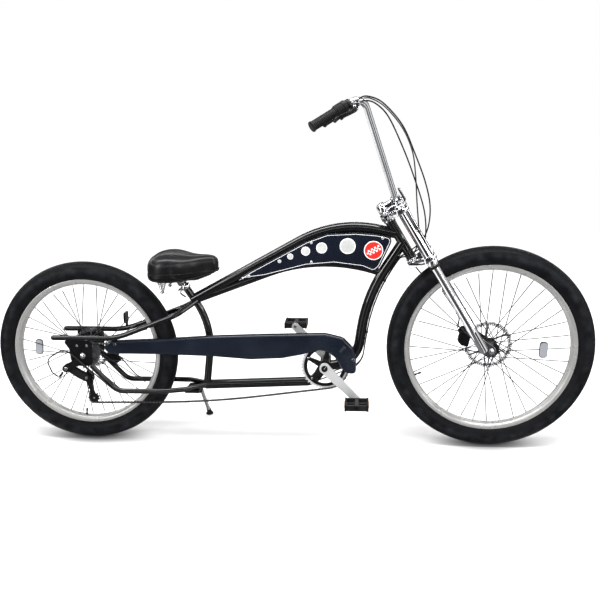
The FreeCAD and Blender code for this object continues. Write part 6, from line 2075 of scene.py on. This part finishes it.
@dataclass
class Studio:
    """White floor, soft lights and the camera of the picture."""

    eye: Triple = (1063.0, -2896.0, 1247.0)
    yaw: float = 4.67
    pitch: float = 13.31
    roll: float = 0.69
    lens: float = 47.76
    floor_half: float = 4.5

    def build(self, upright: Upright) -> None:
        """Makes the floor, the lights, the surroundings and the camera."""
        self.floor([upright.matrix @ Vector((x, 0, 0)) for x in (0.0, WHEELBASE)])
        self.lights()
        self.world()
        self.camera(upright)

    def floor(self, contacts: Sequence[Vector]) -> None:
        """Plain white floor that fades into the backdrop, with a soft shadow painted into its colour
        where the tyres stand.
        """
        half = self.floor_half
        mesh = bpy.data.meshes.new("studio_floor")
        mesh.from_pydata([(-half, -half, 0), (half, -half, 0), (half, half, 0), (-half, half, 0)], [],
                         [(0, 1, 2, 3)])
        maker = Maker("floor_white")
        glossy = maker.node("ShaderNodeLightPath", output="Is Glossy Ray")
        away = maker.node("ShaderNodeVectorMath", {"operation": "LENGTH"}, {0: maker.local()},
                          output="Value")
        # shade: painted shadow, darkest right under each tyre's contact and fading out over an ellipse
        shade = None
        for contact in contacts:
            reach = maker.node("ShaderNodeVectorMath", {"operation": "SUBTRACT"}, {
                0: maker.local(), 1: (contact.x, contact.y, 0.0)})
            flat = maker.node("ShaderNodeVectorMath", {"operation": "DIVIDE"},
                              {0: reach, 1: (0.26, 0.12, 1.0)})
            far = maker.node("ShaderNodeVectorMath", {"operation": "LENGTH"}, {0: flat}, output="Value")
            soft = far.ramp(0.0, 1.0, 1.0, 0.0)
            shade = shade.larger(soft) if shade else soft
        # The floor colour runs from white down to dark grey in the painted shadows.
        floor_colour_with_painted_shadow = maker.blend(shade * shade * (3.0 - shade * 2.0), (0.95, 0.95, 0.95), (0.16, 0.16, 0.17))
        mesh.materials.append(maker.close(
            Base_Color=floor_colour_with_painted_shadow, Roughness=0.8, Specular_IOR_Level=0.0,
            Alpha=away.ramp(self.floor_half * 0.45, self.floor_half * 0.9, 1.0, 0.0) * (1.0 - glossy)))
        item = bpy.data.objects.new("studio_floor", mesh)
        bpy.context.scene.collection.objects.link(item)

    @staticmethod
    def lamp(name: str, place: Triple, aim: Triple, size: Pair, power: float) -> None:
        """Adds one rectangular soft light."""
        data = bpy.data.lights.new(name, "AREA")
        data.shape = "RECTANGLE"
        data.size, data.size_y = size
        data.energy = power
        item = bpy.data.objects.new(name, data)
        item.location = place
        item.rotation_euler = (Vector(aim) - Vector(place)).to_track_quat("-Z", "Y").to_euler()
        bpy.context.scene.collection.objects.link(item)

    def lights(self) -> None:
        """Long overhead strip, a tall key from the left and a narrower fill from the right."""
        self.lamp("over_light", (0.0, -0.3, 3.2), (0.0, 0.1, 0.0), (4.8, 0.6), 150)
        self.lamp("key_light", (-2.6, -2.8, 1.9), (0.0, 0.0, 0.6), (0.5, 2.2), 45)
        self.lamp("fill_light", (3.0, -2.4, 1.7), (0.2, 0.0, 0.6), (0.35, 2.2), 26)

    @staticmethod
    def world() -> None:
        """White backdrop with an even glow; in reflections it stands between dark cards."""
        maker = Maker(world=bpy.data.worlds.new("studio_world"))
        bpy.context.scene.world = maker.owner
        glossy = maker.node("ShaderNodeLightPath", output="Is Glossy Ray")
        turn = maker.node("ShaderNodeSeparateXYZ", {}, {0: maker.node("ShaderNodeTexCoord")})
        rise = turn.beside(2)
        room = rise.ramp(-0.9, -0.1, 0.22, 0.02) + 0.015
        ceiling = rise.ramp(0.56, 0.62, 0.0, 0.38)
        band = rise.ramp(0.30, 0.32) * rise.ramp(0.35, 0.37, 1.0, 0.0) * 8.0
        left = turn.ramp(-0.78, -0.74) * turn.ramp(-0.56, -0.52, 1.0, 0.0) * 1.4
        right = turn.ramp(0.30, 0.33) * turn.ramp(0.41, 0.44, 1.0, 0.0) * 1.5
        edge = turn.ramp(0.86, 0.9, 0.0, 0.8)
        glow = room + ceiling.larger(band) + left + right + edge
        seen = maker.node("ShaderNodeMix", {"data_type": "RGBA", "clamp_factor": False}, {
            0: glow, 6: (0.0, 0.0, 0.0, 1.0), 7: (1.0, 1.0, 1.0, 1.0)}, output=2)
        dark = maker.node("ShaderNodeBackground", {}, {"Color": seen, "Strength": 1.0})
        white = maker.node("ShaderNodeBackground", {}, {"Color": (1.0, 1.0, 1.0, 1.0), "Strength": 1.0})
        mixed = maker.node("ShaderNodeMixShader", {}, {0: glossy, 1: white, 2: dark})
        maker.node("ShaderNodeOutputWorld", {}, {"Surface": mixed}, output=None)

    def camera(self, upright: Upright) -> None:
        """Camera of the photograph, turned with the leaning bicycle."""
        yaw, pitch, roll = (math.radians(value) for value in (self.yaw, self.pitch, self.roll))
        ahead = Vector((-math.sin(yaw) * math.cos(pitch), math.cos(yaw) * math.cos(pitch),
                        -math.sin(pitch)))
        right = Vector((math.cos(yaw), math.sin(yaw), 0))
        down = ahead.cross(right)
        image_right = right * math.cos(roll) + down * math.sin(roll)
        image_down = down * math.cos(roll) - right * math.sin(roll)
        turn = Matrix((image_right, -image_down, -ahead)).transposed().to_4x4()
        lean = upright.matrix.to_3x3().normalized().to_4x4()
        data = bpy.data.cameras.new("view_camera")
        data.lens = self.lens
        data.sensor_width = 36.0
        data.clip_start, data.clip_end = 0.05, 100
        item = bpy.data.objects.new("view_camera", data)
        item.matrix_world = Matrix.Translation(upright.matrix @ Vector(self.eye)) @ lean @ turn
        bpy.context.scene.collection.objects.link(item)
        bpy.context.scene.camera = item
        bpy.context.scene.view_settings.view_transform = "Standard"


def main() -> None:
    """Loads the model, builds its looks and sets the picture."""
    logging.basicConfig(level=logging.INFO, format="%(name)s: %(message)s")
    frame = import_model()
    Shape.upright = Upright.from_joints(frame["joints"], REAR_RADIUS)
    tubes = FrameTubes()
    for part in (
            Wheel("rear", "rear_wheel", 0.0, REAR_RADIUS, left_flange=30, right_flange=21, half=67.5,
                  disc_radius=80, disc_y=48, valve_angle=96, reflector_angle=184),
            Wheel("front", "front_wheel", WHEELBASE, FRONT_RADIUS, left_flange=21.5, right_flange=27,
                  half=50, disc_radius=90, disc_y=39, valve_angle=158, reflector_angle=2),
            Drive(), tubes, Guard(), Panels(), Seat(), Fork(tubes.head_place), Cockpit(tubes.head_place),
            Brakes(tubes.head_place), Stand(), Cables(tubes.head_place), TailReflector()):
        part.build()
    Studio().build(Shape.upright)
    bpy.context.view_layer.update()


if __name__ == "__main__":
    main()
